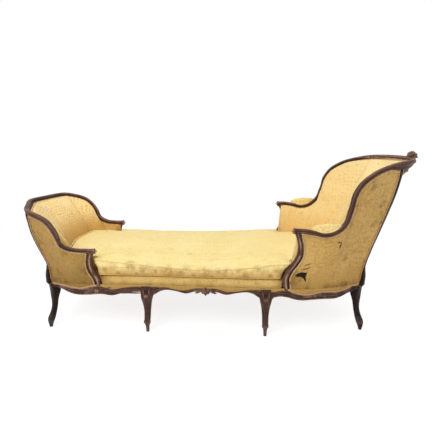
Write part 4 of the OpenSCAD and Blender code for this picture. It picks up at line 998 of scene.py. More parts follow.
def arm_scroll(wall, inner):
    """Spiral carved on the cheek of an arm tip, with a row of beads running back from it."""
    p, n, u, d = wall.line(0.1), level(wall.line_out(0.1)), wall.up(0.1), wall.run(0.1)
    middle = p - 13 * u + (-SHOW_W if inner else 0.0) * n - 1.5 * d
    path = []
    for k in range(24):
        a = math.pi + 2 * math.pi * 1.4 * k / 23
        r = 8.2 - 6.2 * k / 23
        path.append(middle + r * math.cos(a) * d + r * math.sin(a) * u)
    parts = [tube(path, [1.7 - 0.6 * k / 23 for k in range(24)], 6)]
    for k in range(7):
        at = wall.line(0.28 + 0.085 * k) - 4.2 * wall.up(0.3) + (-SHOW_W + 0.6 if inner else -0.8) * n
        size = 2.5 - 0.2 * k
        parts.append([[at + size * (math.sin(b) * math.cos(a) * d + math.cos(b) * n
                                    + math.sin(b) * math.sin(a) * u) for a in angles(8)]
                      for b in np.linspace(0.15, math.pi - 0.15, 6)])
    return parts


for end, wall, foot in ENDS:
    c = wall.corner
    for side, far in SIDES:
        part = loft([support_ring(wall, k / 60) for k in range(61)], foot, far)
        solid(f"arm_support_{end}_{side}_moulded", part, walnut, node=f"arm_support_{end}_{side}")
        tip = [(0, 0.4, 0.5), (0.01, 0.66, 0.8), (0.025, 0.85, 1.06), (0.05, 0.96, 1.28), (0.09, 1, 1.4),
               (0.14, 1.02, 1.42), (0.2, 1.02, 1.32), (0.28, 1, 1.14), (0.38, 1, 1.02)]
        rings = [rail_section(wall, t, w, h) for t, w, h in tip]
        rings += [rail_section(wall, t, 1, 1) for t in spaced(0.5, c, 0.09)]
        parts = [loft(rings, foot, far)]
        parts += [loft(r, foot, far) for inner in (False, True) for r in arm_scroll(wall, inner)]
        node = f"arm_rail_foot_{side}" if foot else f"wing_rail_head_{side}"
        solid(node + "_moulded", joined(*parts), walnut, node=node)


def on_crest(t0, drop):
    """Places a carving on the outer face of the head crest, at a step and a drop below its top."""
    wall = head_wall
    step = length_of(wall.line(t0 + 0.5) - wall.line(t0 - 0.5))

    def place(x, y, z):
        t = t0 + x / step
        down = drop - y
        f = wall.flare(t) * clamp(down / wall.rail_h(t)) ** 3
        return wall.line(t) + (z - 1.5 - f) * level(wall.line_out(t)) - down * wall.up(t)
    return place


for end, wall, foot in ENDS:
    c, d = wall.corner, wall.last - wall.corner
    parts = [loft([rail_section(wall, t, 1, 1) for t in spaced(c, d, 0.07)], foot)]
    if not foot:
        for length, width, turn, drop in ((92, 19, -0.05, 20), (70, 15, 0.2, 28), (56, 14, -0.3, 12)):
            parts += leaves(on_crest(wall.middle, drop), ((length, width, turn, 12),), 4.4, 4.5)
    solid(f"crest_rail_{end}_moulded", joined(*parts), walnut, node=f"crest_rail_{end}")

# The spray on the middle of the head crest: a small shell between curled leaves, carved from one
# block that stands on the rail and leans out with it.
top = head_wall.line(head_wall.middle)


def on_spray(x, y, z):
    """x along the rail, y up, z out from the middle of the spray."""
    return [top[0] - 11 + z, x, top[2] + 0.6 + y]


core = [[on_spray(42 * wide * math.cos(a) * (1 - 0.1 * abs(math.sin(4 * a))), 30 * height,
                  14 * deep * math.sin(a)) for a in angles(32)]
        for height, wide, deep in ((-0.1, 1.34, 0.9), (0.12, 1.32, 0.92), (0.34, 1.2, 0.9),
                                   (0.58, 1.02, 0.8), (0.78, 0.74, 0.62), (0.9, 0.36, 0.34))]
parts = [loft(core)]
for k in range(-3, 4):
    tilt = k * 0.3
    for out in (1, -1):
        def place(x, y, z):
            return on_spray(9 * k + (x + 2) * math.sin(tilt) + y * math.cos(tilt),
                            1 + (x + 2) * math.cos(tilt) - y * math.sin(tilt), out * (z + 10 - 0.2 * x))
        parts.append(loft(leaf(place, 29 - 1.6 * abs(k), 13, 4.6, 1.5)))
for way in (-1, 1):
    for out in (1, -1):
        for start, height, length, turn in ((20, 4, 40, 0.12), (14, 14, 34, 0.3)):
            def place(x, y, z):
                return on_spray(way * (x + start), height + y - 0.004 * x * x, out * (z + 9 - 0.12 * x))
            parts.append(loft(leaf(place, length, 15, 5, 2.5, turn, -3)))
solid("crest_spray_carved", joined(*parts), walnut, node="crest_spray")

# The hidden frame. Braces, corner blocks and tacking rails are plain beech, sawn and unpolished, and
# the deck hangs on woven jute straps, tacked to the rails and laced over and under each other.
STRAPS_APART = 105
LONG_APART = 136


def beech_paint():
    material = bpy.data.materials.new("beech")
    paint = Paint(material)
    spot = paint.add("ShaderNodeTexCoord").outputs["Object"]
    grain = paint.noise(paint.scaled(spot, (60, 14, 220)), 1.0, 5.0)
    tone = paint.mix(paint.ramp(grain, 0.3, 0.7), colour(160, 122, 84), colour(196, 160, 118))
    flecks = paint.cloudy(paint.scaled(spot, (900, 90, 900)), 1.0, 0.6, 0.75, 1.0)
    tone = paint.over(tone, colour(120, 86, 56), flecks, 0.5)
    tone = paint.over(tone, colour(110, 90, 70), paint.cloudy(spot, 9.0, 0.5, 0.8), 0.4)
    paint.finish(tone, paint.plus(0.68, paint.times(grain, 0.2)), grain, 0.3, 0.0008)
    return material


def jute_paint(name, dark, light):
    material = bpy.data.materials.new(name)
    paint = Paint(material)
    place = paint.add("ShaderNodeTexCoord")
    surface = place.outputs["UV"]
    weave = paint.times(paint.wave(surface, 105.0, 0.6, 1.0, "X"), paint.wave(surface, 125.0, 0.6, 1.0, "Y"))
    tone = paint.mix(paint.ramp(weave, 0.05, 0.6), dark, light)
    worn = blend(np.array(dark), np.array(light), 0.3)
    tone = paint.over(tone, worn, paint.cloudy(place.outputs["Object"], 14.0, 0.45, 0.75), 0.5)
    paint.finish(tone, 0.9, weave, 0.6, 0.0008, Sheen_Weight=0.2)
    return material


beech = beech_paint()
jute = jute_paint("jute_webbing", colour(112, 90, 60), colour(178, 152, 112))
for name in ("cross_brace_foot", "cross_brace_head", "corner_blocks_foot", "corner_blocks_head",
             "tack_rail_foot_near", "tack_rail_foot_far", "tack_rail_foot_back",
             "tack_rail_head_near", "tack_rail_head_far", "tack_rail_head_back"):
    for place in frame["nodes"][name].material_slots:
        place.material = beech


def strap(start, stop, lifted):
    """One strap 50 mm wide between two points, rising and dipping past the straps that it crosses."""
    start, stop = np.array(start, float), np.array(stop, float)
    d = unit(stop - start)
    side = beside(d)
    length = length_of(stop - start)
    rings = []
    for k in range(int(length / 12) + 1):
        p = start + d * min(length, 12 * k)
        rings.append([[*(p + w * side), lifted(p) + h] for w, h in (
            (-25, 0.0), (-24.4, 0.9), (0, 1.1), (24.4, 0.9),
            (25, 0.0), (24.4, -0.4), (0, -0.5), (-24.4, -0.4))])
    return loft(rings)


def half_width(x):
    """Half width inside the rails at a place along the length, for the ends of the straps."""
    best = 240.0
    for end, wall, foot in ENDS:
        for k in range(-8, int(wall.middle * 4) + 1):
            p = wall.base(k / 4) - 33 * wall.base_out(k / 4)
            if abs((-p[0] if foot else p[0]) - x) < 22:
                best = max(best, -p[1])
    if -370 < x < 264:
        best = -centre((x + 370.5) / 317.5 + 1)[1] - 33
    return best


cross_x = [corner.x * 1000 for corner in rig.box("webbing_cross")]
parts = []
for n in range(17):
    x = (n - 8) * STRAPS_APART
    if cross_x[0] < x < cross_x[1]:
        half = half_width(x) - 2
        parts.append(strap([x, -half], [x, half],
                           lambda p: 261.2 + 0.6 * math.cos(math.pi * (n + p[1] / LONG_APART))))
solid("webbing_cross_woven", joined(*parts), jute, node="webbing_cross", slot="webbing")
long_x = [corner.x * 1000 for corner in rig.box("webbing_long")]
parts = []
for n, y in enumerate((-LONG_APART, 0, LONG_APART)):
    reach = 26 if y else 4
    parts.append(strap([long_x[0] + reach, y], [long_x[1] - reach, y],
                       lambda p: 262.1 + 0.5 * math.cos(math.pi * (n + p[0] / STRAPS_APART))))
solid("webbing_long_woven", joined(*parts), jute, node="webbing_long", slot="webbing")

# The upholstery. Everything is covered in one old gold silk damask: small sprigs in staggered rows
# over a shadowy woven figure. Inside it is only worn by rubbing. Outside it is stained, and painted
# darker as the shade on the outer faces, darkest at the foot end. The cushion is painted paler as the
# light on its top, and is dirty round the edge. Each piece is painted darker towards its foot as shade.


def silk_paint(name, base, shade, sprig, fade, low, low_z, high_z, sprig_strength, stain, figure,
               stain_amount, ribs=0.0):
    """Silk damask: sprigs, woven figure, fine weave, sheen, fading and stains. Colours are sRGB; low is
    the painted shade at the foot of the piece, which fades out between two heights."""
    base, shade, sprig, fade, low, stain = (colour(*c) for c in (base, shade, sprig, fade, low, stain))
    material = bpy.data.materials.new(name)
    paint = Paint(material)
    place = paint.add("ShaderNodeTexCoord")
    spot, surface = place.outputs["Object"], place.outputs["UV"]
    soil = paint.add("ShaderNodeAttribute", attribute_name="soil").outputs["Fac"]
    u, v = paint.part(surface, 0), paint.part(surface, 1)
    row = paint.math("DIVIDE", v, 0.018)
    odd = paint.times(paint.math("MODULO", paint.math("FLOOR", row), 2.0), 0.5)
    column = paint.plus(paint.math("DIVIDE", u, 0.022), odd)
    x, y = (paint.math("SUBTRACT", paint.math("FRACT", value), 0.5) for value in (column, row))
    here = paint.add("ShaderNodeCombineXYZ", {0: x, 1: y}).outputs[0]
    stray = paint.add("ShaderNodeTexNoise", {"Vector": spot, "Scale": 40.0, "Detail": 1.0}).outputs["Color"]
    stray = paint.scaled(paint.vector("SUBTRACT", stray, (0.5, 0.5, 0.5)), (1.1, 1.1, 0.0))
    here = paint.vector("ADD", here, stray)
    shape = None
    for cx, cy, r in ((0, 0.04, 0.13), (0.15, 0.16, 0.1), (-0.14, 0.14, 0.1), (0.08, -0.17, 0.09),
                      (-0.1, -0.12, 0.08)):
        away = paint.add("ShaderNodeVectorMath", {0: here, 1: (cx, cy, 0)}, operation="DISTANCE").outputs[1]
        petal = paint.ramp(away, r, r * 0.55)
        shape = petal if shape is None else paint.math("MAXIMUM", shape, petal)
    mirrored_way = paint.add("ShaderNodeCombineXYZ", {
        0: paint.math("PINGPONG", u, 0.062), 1: paint.math("PINGPONG", v, 0.094)}).outputs[0]
    swirl = paint.noise(mirrored_way, 46.0, 2.0, 0.5)
    woven = paint.ramp(paint.math("ABSOLUTE", paint.math("SUBTRACT", swirl, 0.5)), 0.045, 0.02)
    tone = paint.over(base, shade, woven, figure)
    tone = paint.over(tone, fade, paint.cloudy(spot, 4.0, 0.35, 0.7, 5.0, 0.6), 0.5)
    # Painted shade: the colour low is laid over the foot of the piece and fades out upwards.
    tone = paint.over(tone, low, paint.ramp(paint.part(spot, 2), low_z, high_z, 1.0, 0.0), 0.85)
    tone = paint.over(tone, sprig, shape, paint.times(paint.cloudy(spot, 19.0, 0.36, 0.58), sprig_strength))
    slubs = paint.noise(paint.scaled(surface, (26, 620, 1)), 1.0, 3.0, 0.6)
    tone = paint.over(tone, fade, paint.ramp(slubs, 0.5, 0.75), 0.25)
    threads = paint.cloudy(paint.scaled(surface, (420, 90, 1)), 1.0, 0.55, 0.8, 2.0, 0.6)
    tone = paint.over(tone, shade, threads, 0.16)
    blotch = paint.cloudy(spot, 11.0, 0.54, 0.74, 6.0, 0.65)
    grubby = paint.times(soil, paint.cloudy(spot, 24.0, 0.3, 0.62, 4.0, 0.7))
    dirt = paint.plus(paint.times(blotch, stain_amount), grubby)
    tone = paint.mix(paint.math("MINIMUM", dirt, 0.92), tone, stain)
    weave = paint.plus(paint.wave(surface, 420.0, 0.8, 2.0, "X"), paint.wave(surface, 480.0, 0.8, 2.0, "Y"))
    stands = paint.plus(paint.times(shape, 0.5), paint.times(slubs, 0.5))
    relief = paint.plus(paint.times(weave, 0.18), stands)
    if ribs:
        rib = paint.ramp(paint.math("PINGPONG", v, ribs), 0.004, 0.0)
        relief = paint.plus(relief, paint.times(rib, -3.0))
    relief = paint.plus(relief, paint.times(paint.noise(spot, 36.0, 5.0, 0.65), 2.6))
    paint.finish(tone, paint.plus(0.5, paint.times(dirt, 0.3)), relief, 0.55, 0.0016, Sheen_Weight=0.15,
                 Sheen_Roughness=0.4, Sheen_Tint=(1.0, 0.9, 0.65, 1.0), Specular_IOR_Level=0.3)
    return material


silk_inside_head = silk_paint(
    "silk_inside_head", (244, 212, 142), (222, 184, 106), (170, 112, 54), (252, 232, 176),
    (226, 184, 108), 0.36, 0.56, 0.4, (170, 120, 52), 0.35, 0.2)
silk_inside_foot = silk_paint(
    "silk_inside_foot", (250, 216, 142), (224, 182, 98), (168, 108, 44), (255, 232, 172),
    (190, 138, 48), 0.43, 0.57, 0.85, (164, 112, 46), 0.4, 0.3)
# The outside silks are darker than the inside ones: painted shade on the outer faces, with real stains on top.
silk_outside_head = silk_paint(
    "silk_outside_head", (198, 156, 82), (152, 112, 44), (224, 188, 116), (222, 184, 108),
    (178, 136, 62), 0.28, 0.4, 0.5, (118, 88, 36), 0.8, 0.7)
# The foot end's outside silk is darker still: painted shade on the side turned from the light.
silk_outside_foot_painted_shade = silk_paint(
    "silk_outside_foot_painted_shade", (172, 134, 66), (140, 104, 42), (120, 82, 32), (196, 158, 84),
    (150, 114, 50), 0.28, 0.4, 0.6, (96, 72, 28), 0.8, 0.75)


def soil_at(piece, spots=()):
    """Marks where a piece is dirty: spots are a place in metres, a reach and a strength."""
    layer = piece.data.attributes.new("soil", "FLOAT", "POINT")
    layer.data.foreach_set("value", [
        max([0.0] + [strength * clamp(1.25 - (v.co - Vector(place)).length / reach)
                     for place, reach, strength in spots]) for v in piece.data.vertices])
    return piece


def ripple(x, y, z):
    return noise.noise(Vector((x, y, z)))


PAD_DROP = SHOW_H + 4.5


def pad_depth(v, thick):
    return RAIL_W + 1 + blend(-5, thick, 1 - v ** 1.4)


def pad_point(wall, t, f, squeeze, puff=0.0):
    """Inner face of the padding: f runs from the deck, 0, to its top edge under the rail, 1."""
    h = wall.rail_h(t)
    z2 = wall.top(t, h)[2]
    if f <= 5 / 6:
        z = blend(DECK_TOP, z2, f * 6 / 5)
        p = wall.at(t, z, h)
    else:
        edge = wall.top(t, PAD_DROP)
        g = (f - 5 / 6) * 6
        z = blend(z2, edge[2], g)
        p = blend(wall.at(t, z2, h), edge[:2], g)
    x0 = wall.base(0)[0]
    end_x = wall.at(wall.middle, z, wall.rail_h(wall.middle))[0]
    kx = 1 - (pad_depth(f, 95 * squeeze) + puff) / (end_x - x0)
    ky = 1 - (pad_depth(f, 55 * squeeze) + puff) / -wall.base(0)[1]
    found = np.array([x0 + (p[0] - x0) * kx, p[1] * ky])
    square = p - (pad_depth(f, 55 * squeeze) + puff) * wall.out(t, z)
    w = clamp((f - 0.5) / 0.5)
    found = blend(found, square, w * w * (3 - 2 * w))
    beside = wall.support_plan(clamp(wall.support_share(z)))[0] + 2
    found[0] += max(0.0, beside - wall.at(0, z, h)[0]) * clamp(1 - t / 2.2) * clamp((1 - f) * 5)
    return np.array([found[0], found[1], z])


def pad_ring(wall, t, squeeze=1.0, pull=0.0):
    """Ring round the padding: up its stuffed face, over its top edge and down the lining behind."""
    h = wall.rail_h(t)
    ring = []
    for k in range(23):
        f = k / 22
        fold = ripple(t * 2.3, f * 3.1, 4.0) * 2.2 + ripple(t * 7.0, f * 1.6, 9.0) * 1.1
        puff = (2.5 * math.sin(math.pi * f) + fold) * clamp(f * 6) * clamp((1 - f) * 7)
        ring.append(pad_point(wall, t, f, squeeze, puff - pull * math.sin(math.pi * clamp(f * 1.1))))
    edge, n, u = ring[-1], level(wall.line_out(t)), wall.up(t)
    ring += [edge + 4 * n + 0.9 * u, edge + 11 * n + 0.6 * u]
    depth = SHOW_W + 2.5
    top = wall.top(t, PAD_DROP)
    ring.append([*(top[:2] - depth * wall.out(t, top[2])), top[2]])
    for k in (5, 3, 1, 0):
        z = blend(DECK_TOP, wall.top(t, h)[2], k / 5)
        ring.append([*(wall.at(t, z, h) - depth * wall.out(t, z)), z])
    return ring


for end, wall, foot in ENDS:
    cloth = silk_inside_foot if foot else silk_inside_head
    c = wall.corner
    for side, far in SIDES:
        rings = [pad_ring(wall, 0.5, 0.62, pull=2), pad_ring(wall, 0.56, 0.74)]
        rings += [pad_ring(wall, t, min(1, 0.8 + (t - 0.6) * 0.9)) for t in spaced(0.64, c - 0.06, 0.085)]
        rings.append(pad_ring(wall, c - 0.004))
        piece = solid(f"inside_arm_{end}_{side}_upholstered", loft(rings, foot, far, strip=True), cloth,
                      node=f"inside_arm_{end}_{side}", slot="damask", sharp=60)
        soil_at(piece, [(mirrored(np.array([*wall.base(0.8), 340]) / 1000, foot, far), 0.09, 0.7)])
        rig.padded(piece, fill=0.85)
    rings = [pad_ring(wall, c + 0.004)]
    rings += [pad_ring(wall, t) for t in spaced(c + 0.06, wall.last - c - 0.06, 0.06)]
    rings.append(pad_ring(wall, wall.last - c - 0.004))
    piece = solid(f"inside_back_{end}_upholstered", loft(rings, foot, strip=True), cloth,
                  node=f"inside_back_{end}", slot="damask", sharp=60)
    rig.padded(soil_at(piece), fill=0.85)

# Outside covers: one thickness of the damask over a hessian lining, tacked round the edges and
# bare of stuffing, so it sags and pulls between its tacks. The near one at the head end is ripped.
CLOTH_ROWS = [0, 0.18, 0.35, 0.48, 0.62, 0.8, 1]


def cloth_z(wall, t, z_top, f):
    """Height of a row of the outside cover; f runs from 0 to 6 as its tacked rows do."""
    k = min(5, int(f))
    g = f - k
    knee = RAIL_TOP + 102
    values = []
    for row in (k, k + 1):
        low_z = RAIL_TOP + row * 51 if row <= 2 else blend(knee, z_top, (row - 2) / 4)
        values.append(blend(blend(RAIL_TOP, z_top, CLOTH_ROWS[row]), low_z, min(1, t / wall.corner)))
    return blend(values[0], values[1], g)


def cover_point(wall, t, f, shift=0.0):
    z_top = wall.top(t, wall.cloth_drop(t))[2]
    z = cloth_z(wall, t, z_top, f)
    out = wall.out(t, z)
    along = beside(out)
    step = shift * (post_half(z) + 1)
    p = wall.at(t, z, wall.cloth_drop(t)) - out + step * along
    return np.array([p[0], p[1], z])


def support_point(wall, f):
    z = cloth_z(wall, 0, wall.support_top() - 1, f)
    x, face, half = wall.support_plan(wall.support_share(z))
    return np.array([x + half + 4, face + 1, z])


def cover(columns, foot, far, rips=(), thickness=2.4):
    """Outside cover from columns of points, with ripped holes, closed all round by its thickness."""
    m, n = len(columns), len(columns[0])
    p = mirrored(np.array(columns, float) / 1000, foot, far)
    across = running(np.linalg.norm(p[1:] - p[:-1], axis=2).mean(axis=1))
    up = running(np.linalg.norm(p[:, 1:] - p[:, :-1], axis=2).mean(axis=0))
    kept = {(a, b) for a in range(m - 1) for b in range(n - 1)
            if not any(rip((p[a, b] + p[a + 1, b + 1]) / 2, p[a, b]) for rip in rips)}
    normal = np.cross(np.gradient(p, axis=0), np.gradient(p, axis=1))
    normal /= np.linalg.norm(normal, axis=2, keepdims=True)
    if foot != far:
        normal = -normal
    if (normal[m // 2, n // 2] @ (p[m // 2, n // 2] - [p[:, :, 0].mean() * 0.5, 0, 0.4])) < 0:
        normal = -normal
    back = p - normal * thickness / 1000
    points = np.concatenate([p.reshape(-1, 3), back.reshape(-1, 3)])
    count = m * n
    faces, coords = [], []
    for a, b in sorted(kept):
        corners = ((a, b), (a + 1, b), (a + 1, b + 1), (a, b + 1))
        quad = [i * n + j for i, j in corners]
        marks = [(across[i], up[j]) for i, j in corners]
        faces += [tuple(quad), tuple(i + count for i in reversed(quad))]
        coords += [tuple(marks), tuple(reversed(marks))]
        for k, (da, db) in enumerate(((0, -1), (1, 0), (0, 1), (-1, 0))):
            if (a + da, b + db) not in kept:
                i, j = quad[k], quad[(k + 1) % 4]
                faces.append((j, i, i + count, j + count))
                coords.append((marks[(k + 1) % 4], marks[k], marks[k], marks[(k + 1) % 4]))
    used = sorted({i for face in faces for i in face})
    renumbered = {old: new for new, old in enumerate(used)}
    faces = [tuple(renumbered[i] for i in face) for face in faces]
    area = sum(length_of(np.cross(p[a + 1, b] - p[a, b], p[a, b + 1] - p[a, b])) for a, b in sorted(kept))
    width = float(across[-1])
    height = float(np.linalg.norm(p[:, 1:] - p[:, :-1], axis=2).sum(axis=1).max())
    return (points[used], faces, coords), {"flat": (width, height), "area": min(area, width * height)}


def sagged(point, out2, t, f, amount=3.0):
    """The cover hangs a little hollow, with pulls running from its tacks."""
    middle = math.sin(math.pi * clamp(f / 6))
    pulls = 0.9 * math.sin(t * 21) * bump_at(f, 0.15, 0.5)
    pulls += 0.8 * math.sin(t * 17 + 1) * bump_at(f, 5.9, 0.5)
    soft = noise.noise(Vector(point) * 0.011) * 2.6 + noise.noise(Vector(point) * 0.03) * 1.5
    soft += 0.9 * ripple(point[0] * 0.016, 0, point[2] * 0.075)
    inwards = amount * 0.4 * middle - soft * middle - pulls
    return np.array([point[0] - inwards * out2[0], point[1] - inwards * out2[1], point[2]])


def beside_line(x, z, x0, z0, x1, z1):
    """Share of the way along a line in the near side's plane, and distance from it."""
    along = clamp(((x - x0) * (x1 - x0) + (z - z0) * (z1 - z0)) / ((x1 - x0) ** 2 + (z1 - z0) ** 2))
    return along, math.hypot(x - blend(x0, x1, along), z - blend(z0, z1, along))


def ripped(x0, z0, x1, z1, half, seed):
    """A ragged slit between two places on the near side, in metres."""
    def inside(middle, corner):
        along, away = beside_line(middle[0], middle[2], x0, z0, x1, z1)
        ragged = ripple(corner[0] * 90, corner[2] * 90, seed)
        return away < half * (0.35 + math.sin(math.pi * clamp(along, 0.08, 0.92))) * (1 + 0.6 * ragged)
    return inside


def torn(corners):
    """A torn hole with a ragged edge round the corners, which are x and z in metres."""
    def inside(middle, corner):
        x, z = (middle[i] + 0.0025 * ripple(middle[0] * 160, middle[2] * 160, seed)
                for i, seed in ((0, 3.0), (2, 8.0)))
        within = False
        for k, (x1, z1) in enumerate(corners):
            x0, z0 = corners[k - 1]
            if (z0 > z) != (z1 > z) and x < x0 + (x1 - x0) * (z - z0) / (z1 - z0):
                within = not within
        return within
    return inside


HOLE = ((0.408, 0.343), (0.426, 0.356), (0.441, 0.361), (0.457, 0.362), (0.473, 0.359), (0.47, 0.336),
        (0.464, 0.309), (0.456, 0.326), (0.441, 0.335), (0.425, 0.334))
SLITS = ((0.456, 0.397, 0.491, 0.411, 0.0022, 1), (0.444, 0.375, 0.488, 0.389, 0.0022, 2),
         (0.612, 0.521, 0.637, 0.523, 0.003, 3), (0.637, 0.523, 0.629, 0.486, 0.003, 4),
         (0.851, 0.692, 0.855, 0.694, 0.005, 5))
RIDGES = ((0.466, 0.29, 0.483, 0.343, 6, 0.012), (0.483, 0.343, 0.515, 0.366, 5, 0.012),
          (0.5, 0.42, 0.53, 0.36, 4, 0.014), (0.3, 0.29, 0.8, 0.3, 2.5, 0.02),
          (0.75, 0.8, 0.885, 0.838, 3, 0.009), (0.55, 0.43, 0.75, 0.36, 2.5, 0.02))
FROM_SUPPORT = 2.25
LEVELS = [k / 6 for k in range(37)]


def pushed_out(p):
    """How far the torn near cover stands out: the flap under the hole, and creases pulling from it."""
    x, z = p[0] / 1000, p[2] / 1000
    stand = 19 * math.exp(-((x - 0.423) / 0.03) ** 2 - ((z - 0.31) / (0.012 if z > 0.31 else 0.02)) ** 2)
    for x0, z0, x1, z1, high, wide in RIDGES:
        along, away = beside_line(x, z, x0, z0, x1, z1)
        stand += high * math.sin(math.pi * clamp(along, 0.1, 0.9)) * math.exp(-(away / wide) ** 2)
    return stand


for end, wall, foot in ENDS:
    c = wall.corner
    silk_outside = silk_outside_foot_painted_shade if foot else silk_outside_head
    for side, far in SIDES:
        fine = end == "head" and side == "near"
        up_rows = [k / 12 for k in range(73)] if fine else LEVELS
        columns = []
        for w in (k / 30 for k in range(30)):
            t = FROM_SUPPORT * w
            column = [blend(support_point(wall, f), cover_point(wall, FROM_SUPPORT, f), w) for f in up_rows]
            columns.append([sagged(p, wall.out(t, p[2]), t, f, 2.0 * math.sin(math.pi * w * 0.5))
                            for p, f in zip(column, up_rows)])
        for t in spaced(FROM_SUPPORT, c - 30 / wall.step_l(c - 1), 0.05 if fine else 0.1):
            columns.append([sagged(cover_point(wall, t, f), wall.out(t, FACING_Z), t, f) for f in up_rows])
        columns.append([cover_point(wall, c, f, -1) for f in up_rows])
        for _ in range(14):
            for k in range(22, 40):
                columns[k] = [(a + 2 * b + d) / 4 for a, b, d in zip(*columns[k - 1:k + 2])]
        rips = []
        if fine:
            rips = [torn(HOLE)] + [ripped(*slit) for slit in SLITS]
            for column in columns[1:-1]:
                column[1:-1] = [p - pushed_out(p) * np.array([0, 1.0, 0]) for p in column[1:-1]]
        part, cut = cover(columns, foot, far, rips)
        piece = solid(f"outside_arm_{end}_{side}_tacked", part, silk_outside,
                      node=f"outside_arm_{end}_{side}", slot="damask_outside", sharp=50)
        spots = [(mirrored(np.array([*wall.base(c * k / 13), 262]) / 1000, foot, far), 0.035,
                  0.7 if k % 3 else 0.95) for k in range(14)]
        spots.append((mirrored(np.array([*(wall.base(0) + [20, 0]), 330]) / 1000, foot, far), 0.09, 0.8))
        soil_at(piece, spots)
        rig.sheet(piece, held="stretched", rests_on=[f"seat_rail_{end}_{side}"], **cut)
    lead = 30 / wall.step_l(c)
    columns = [[cover_point(wall, c, f, 1) for f in LEVELS]]
    for t in spaced(c + lead, wall.last - c - lead, 0.08):
        columns.append([sagged(cover_point(wall, t, f), wall.out(t, FACING_Z), t, f, 5.0) for f in LEVELS])
    columns.append([cover_point(wall, wall.last - c, f, -1) for f in LEVELS])
    part, cut = cover(columns, foot, False)
    piece = solid(f"outside_back_{end}_tacked", part, silk_outside, node=f"outside_back_{end}",
                  slot="damask_outside", sharp=50)
    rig.sheet(soil_at(piece), held="stretched", rests_on=[f"end_rail_{end}"], **cut)

# The seat deck. Springs and horsehair over the webbing make a flat platform, whose silk border
# bulges a little between the rails and the loose cushion. Its silk is painted darker than the inside
# of the arms, as the shade under the cushion. It is notched round the arm supports and corner posts.
# Painted shade: the deck's silk is darker than the inside silk, and darker still towards its foot.
silk_deck = silk_paint(
    "silk_deck", (206, 170, 94), (178, 140, 68), (160, 112, 48), (234, 202, 128),
    (166, 126, 60), 0.252, 0.302, 0.5, (120, 84, 36), 0.6, 0.5)


def settle(piece):
    """Makes the shape that the modifiers give the piece its own, and removes them."""
    graph = bpy.context.evaluated_depsgraph_get()
    graph.update()
    shaped = bpy.data.meshes.new_from_object(piece.evaluated_get(graph))
    piece.modifiers.clear()
    piece.data, old = shaped, piece.data
    bpy.data.meshes.remove(old)


def soft_copy(node, name, voxel):
    """The node's shape as one evenly divided closed mesh, ready to be filled or puffed."""
    work = bmesh.new()
    work.from_mesh(frame["nodes"][node].data)
    bmesh.ops.remove_doubles(work, verts=work.verts, dist=0.00002)
    bmesh.ops.recalc_face_normals(work, faces=work.faces)
    mesh = bpy.data.meshes.new(name)
    work.to_mesh(mesh)
    work.free()
    piece = bpy.data.objects.new(name, mesh)
    bpy.context.collection.objects.link(piece)
    divided = piece.modifiers.new("even", "REMESH")
    divided.mode = "VOXEL"
    divided.voxel_size = voxel
    settle(piece)
    return piece


def read_points(mesh, values="co"):
    flat = np.empty(len(mesh.vertices) * 3)
    mesh.vertices.foreach_get(values, flat)
    return flat.reshape(-1, 3)


def set_points(mesh, points):
    mesh.vertices.foreach_set("co", points.ravel())
    mesh.update()


def laid_flat(mesh):
    """Surface coordinates in metres: from above where the cloth lies flat, and sideways on its border."""
    layer = mesh.uv_layers.get("surface") or mesh.uv_layers.new(name="surface")
    points = read_points(mesh)
    loops = np.empty(len(mesh.loops), int)
    mesh.loops.foreach_get("vertex_index", loops)
    coords = np.empty((len(loops), 2))
    for polygon in mesh.polygons:
        n = polygon.normal
        span = slice(polygon.loop_start, polygon.loop_start + polygon.loop_total)
        axes = [0, 1] if abs(n.z) > 0.62 else [0, 2] if abs(n.y) > abs(n.x) else [1, 2]
        coords[span] = points[loops[span]][:, axes]
    layer.data.foreach_set("uv", coords.ravel())


def dress(piece, material, node, body, spots, fill):
    """Finish of a soft piece that was remeshed: coordinates, dirt, shading, paint, and its declarations."""
    laid_flat(piece.data)
    soil_at(piece, spots)
    for polygon in piece.data.polygons:
        polygon.use_smooth = True
    piece.data.materials.clear()
    piece.data.materials.append(material)
    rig.ride(piece, body)
    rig.replaces(piece, node)
    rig.slot(piece, "damask")
    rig.padded(piece, fill=fill)


deck = soft_copy("seat_deck", "seat_deck_sprung", 0.0085)
upper = deck.vertex_groups.new(name="upper")
for v in deck.data.vertices:
    upper.add([v.index], clamp((v.co.z - 0.272) / 0.012), "REPLACE")
rounded = deck.modifiers.new("rounded", "SMOOTH")
rounded.factor = 0.6
rounded.iterations = 14
rounded.vertex_group = "upper"
settle(deck)
points, normals = read_points(deck.data), read_points(deck.data, "normal")
for i, (p, n) in enumerate(zip(points.copy(), normals)):
    side = math.hypot(n[0], n[1])
    rise = clamp((p[2] - 0.263) / 0.051)
    swell = (0.0052 + 0.0026 * noise.noise(Vector(p) * 22)) * math.sin(math.pi * clamp(rise * 0.95 + 0.02))
    pucker = 0.0007 * math.sin(p[0] * 300 + 5 * noise.noise(Vector(p) * 9)) * bump_at(rise, 0.1, 0.3)
    points[i] += level(n) * side * (swell + pucker)
set_points(deck.data, points)
spots = [(mirrored(np.array([*wall.base(0), 290]) / 1000, foot, far), 0.07, 0.8)
         for end, wall, foot in ENDS for side, far in SIDES]
spots += [((-0.62 + 0.066 * k, -0.34, 0.262 + 0.006 * (k % 3)), 0.026, 0.4) for k in range(18)]
dress(deck, silk_deck, "seat_deck", "frame", spots, 0.9)

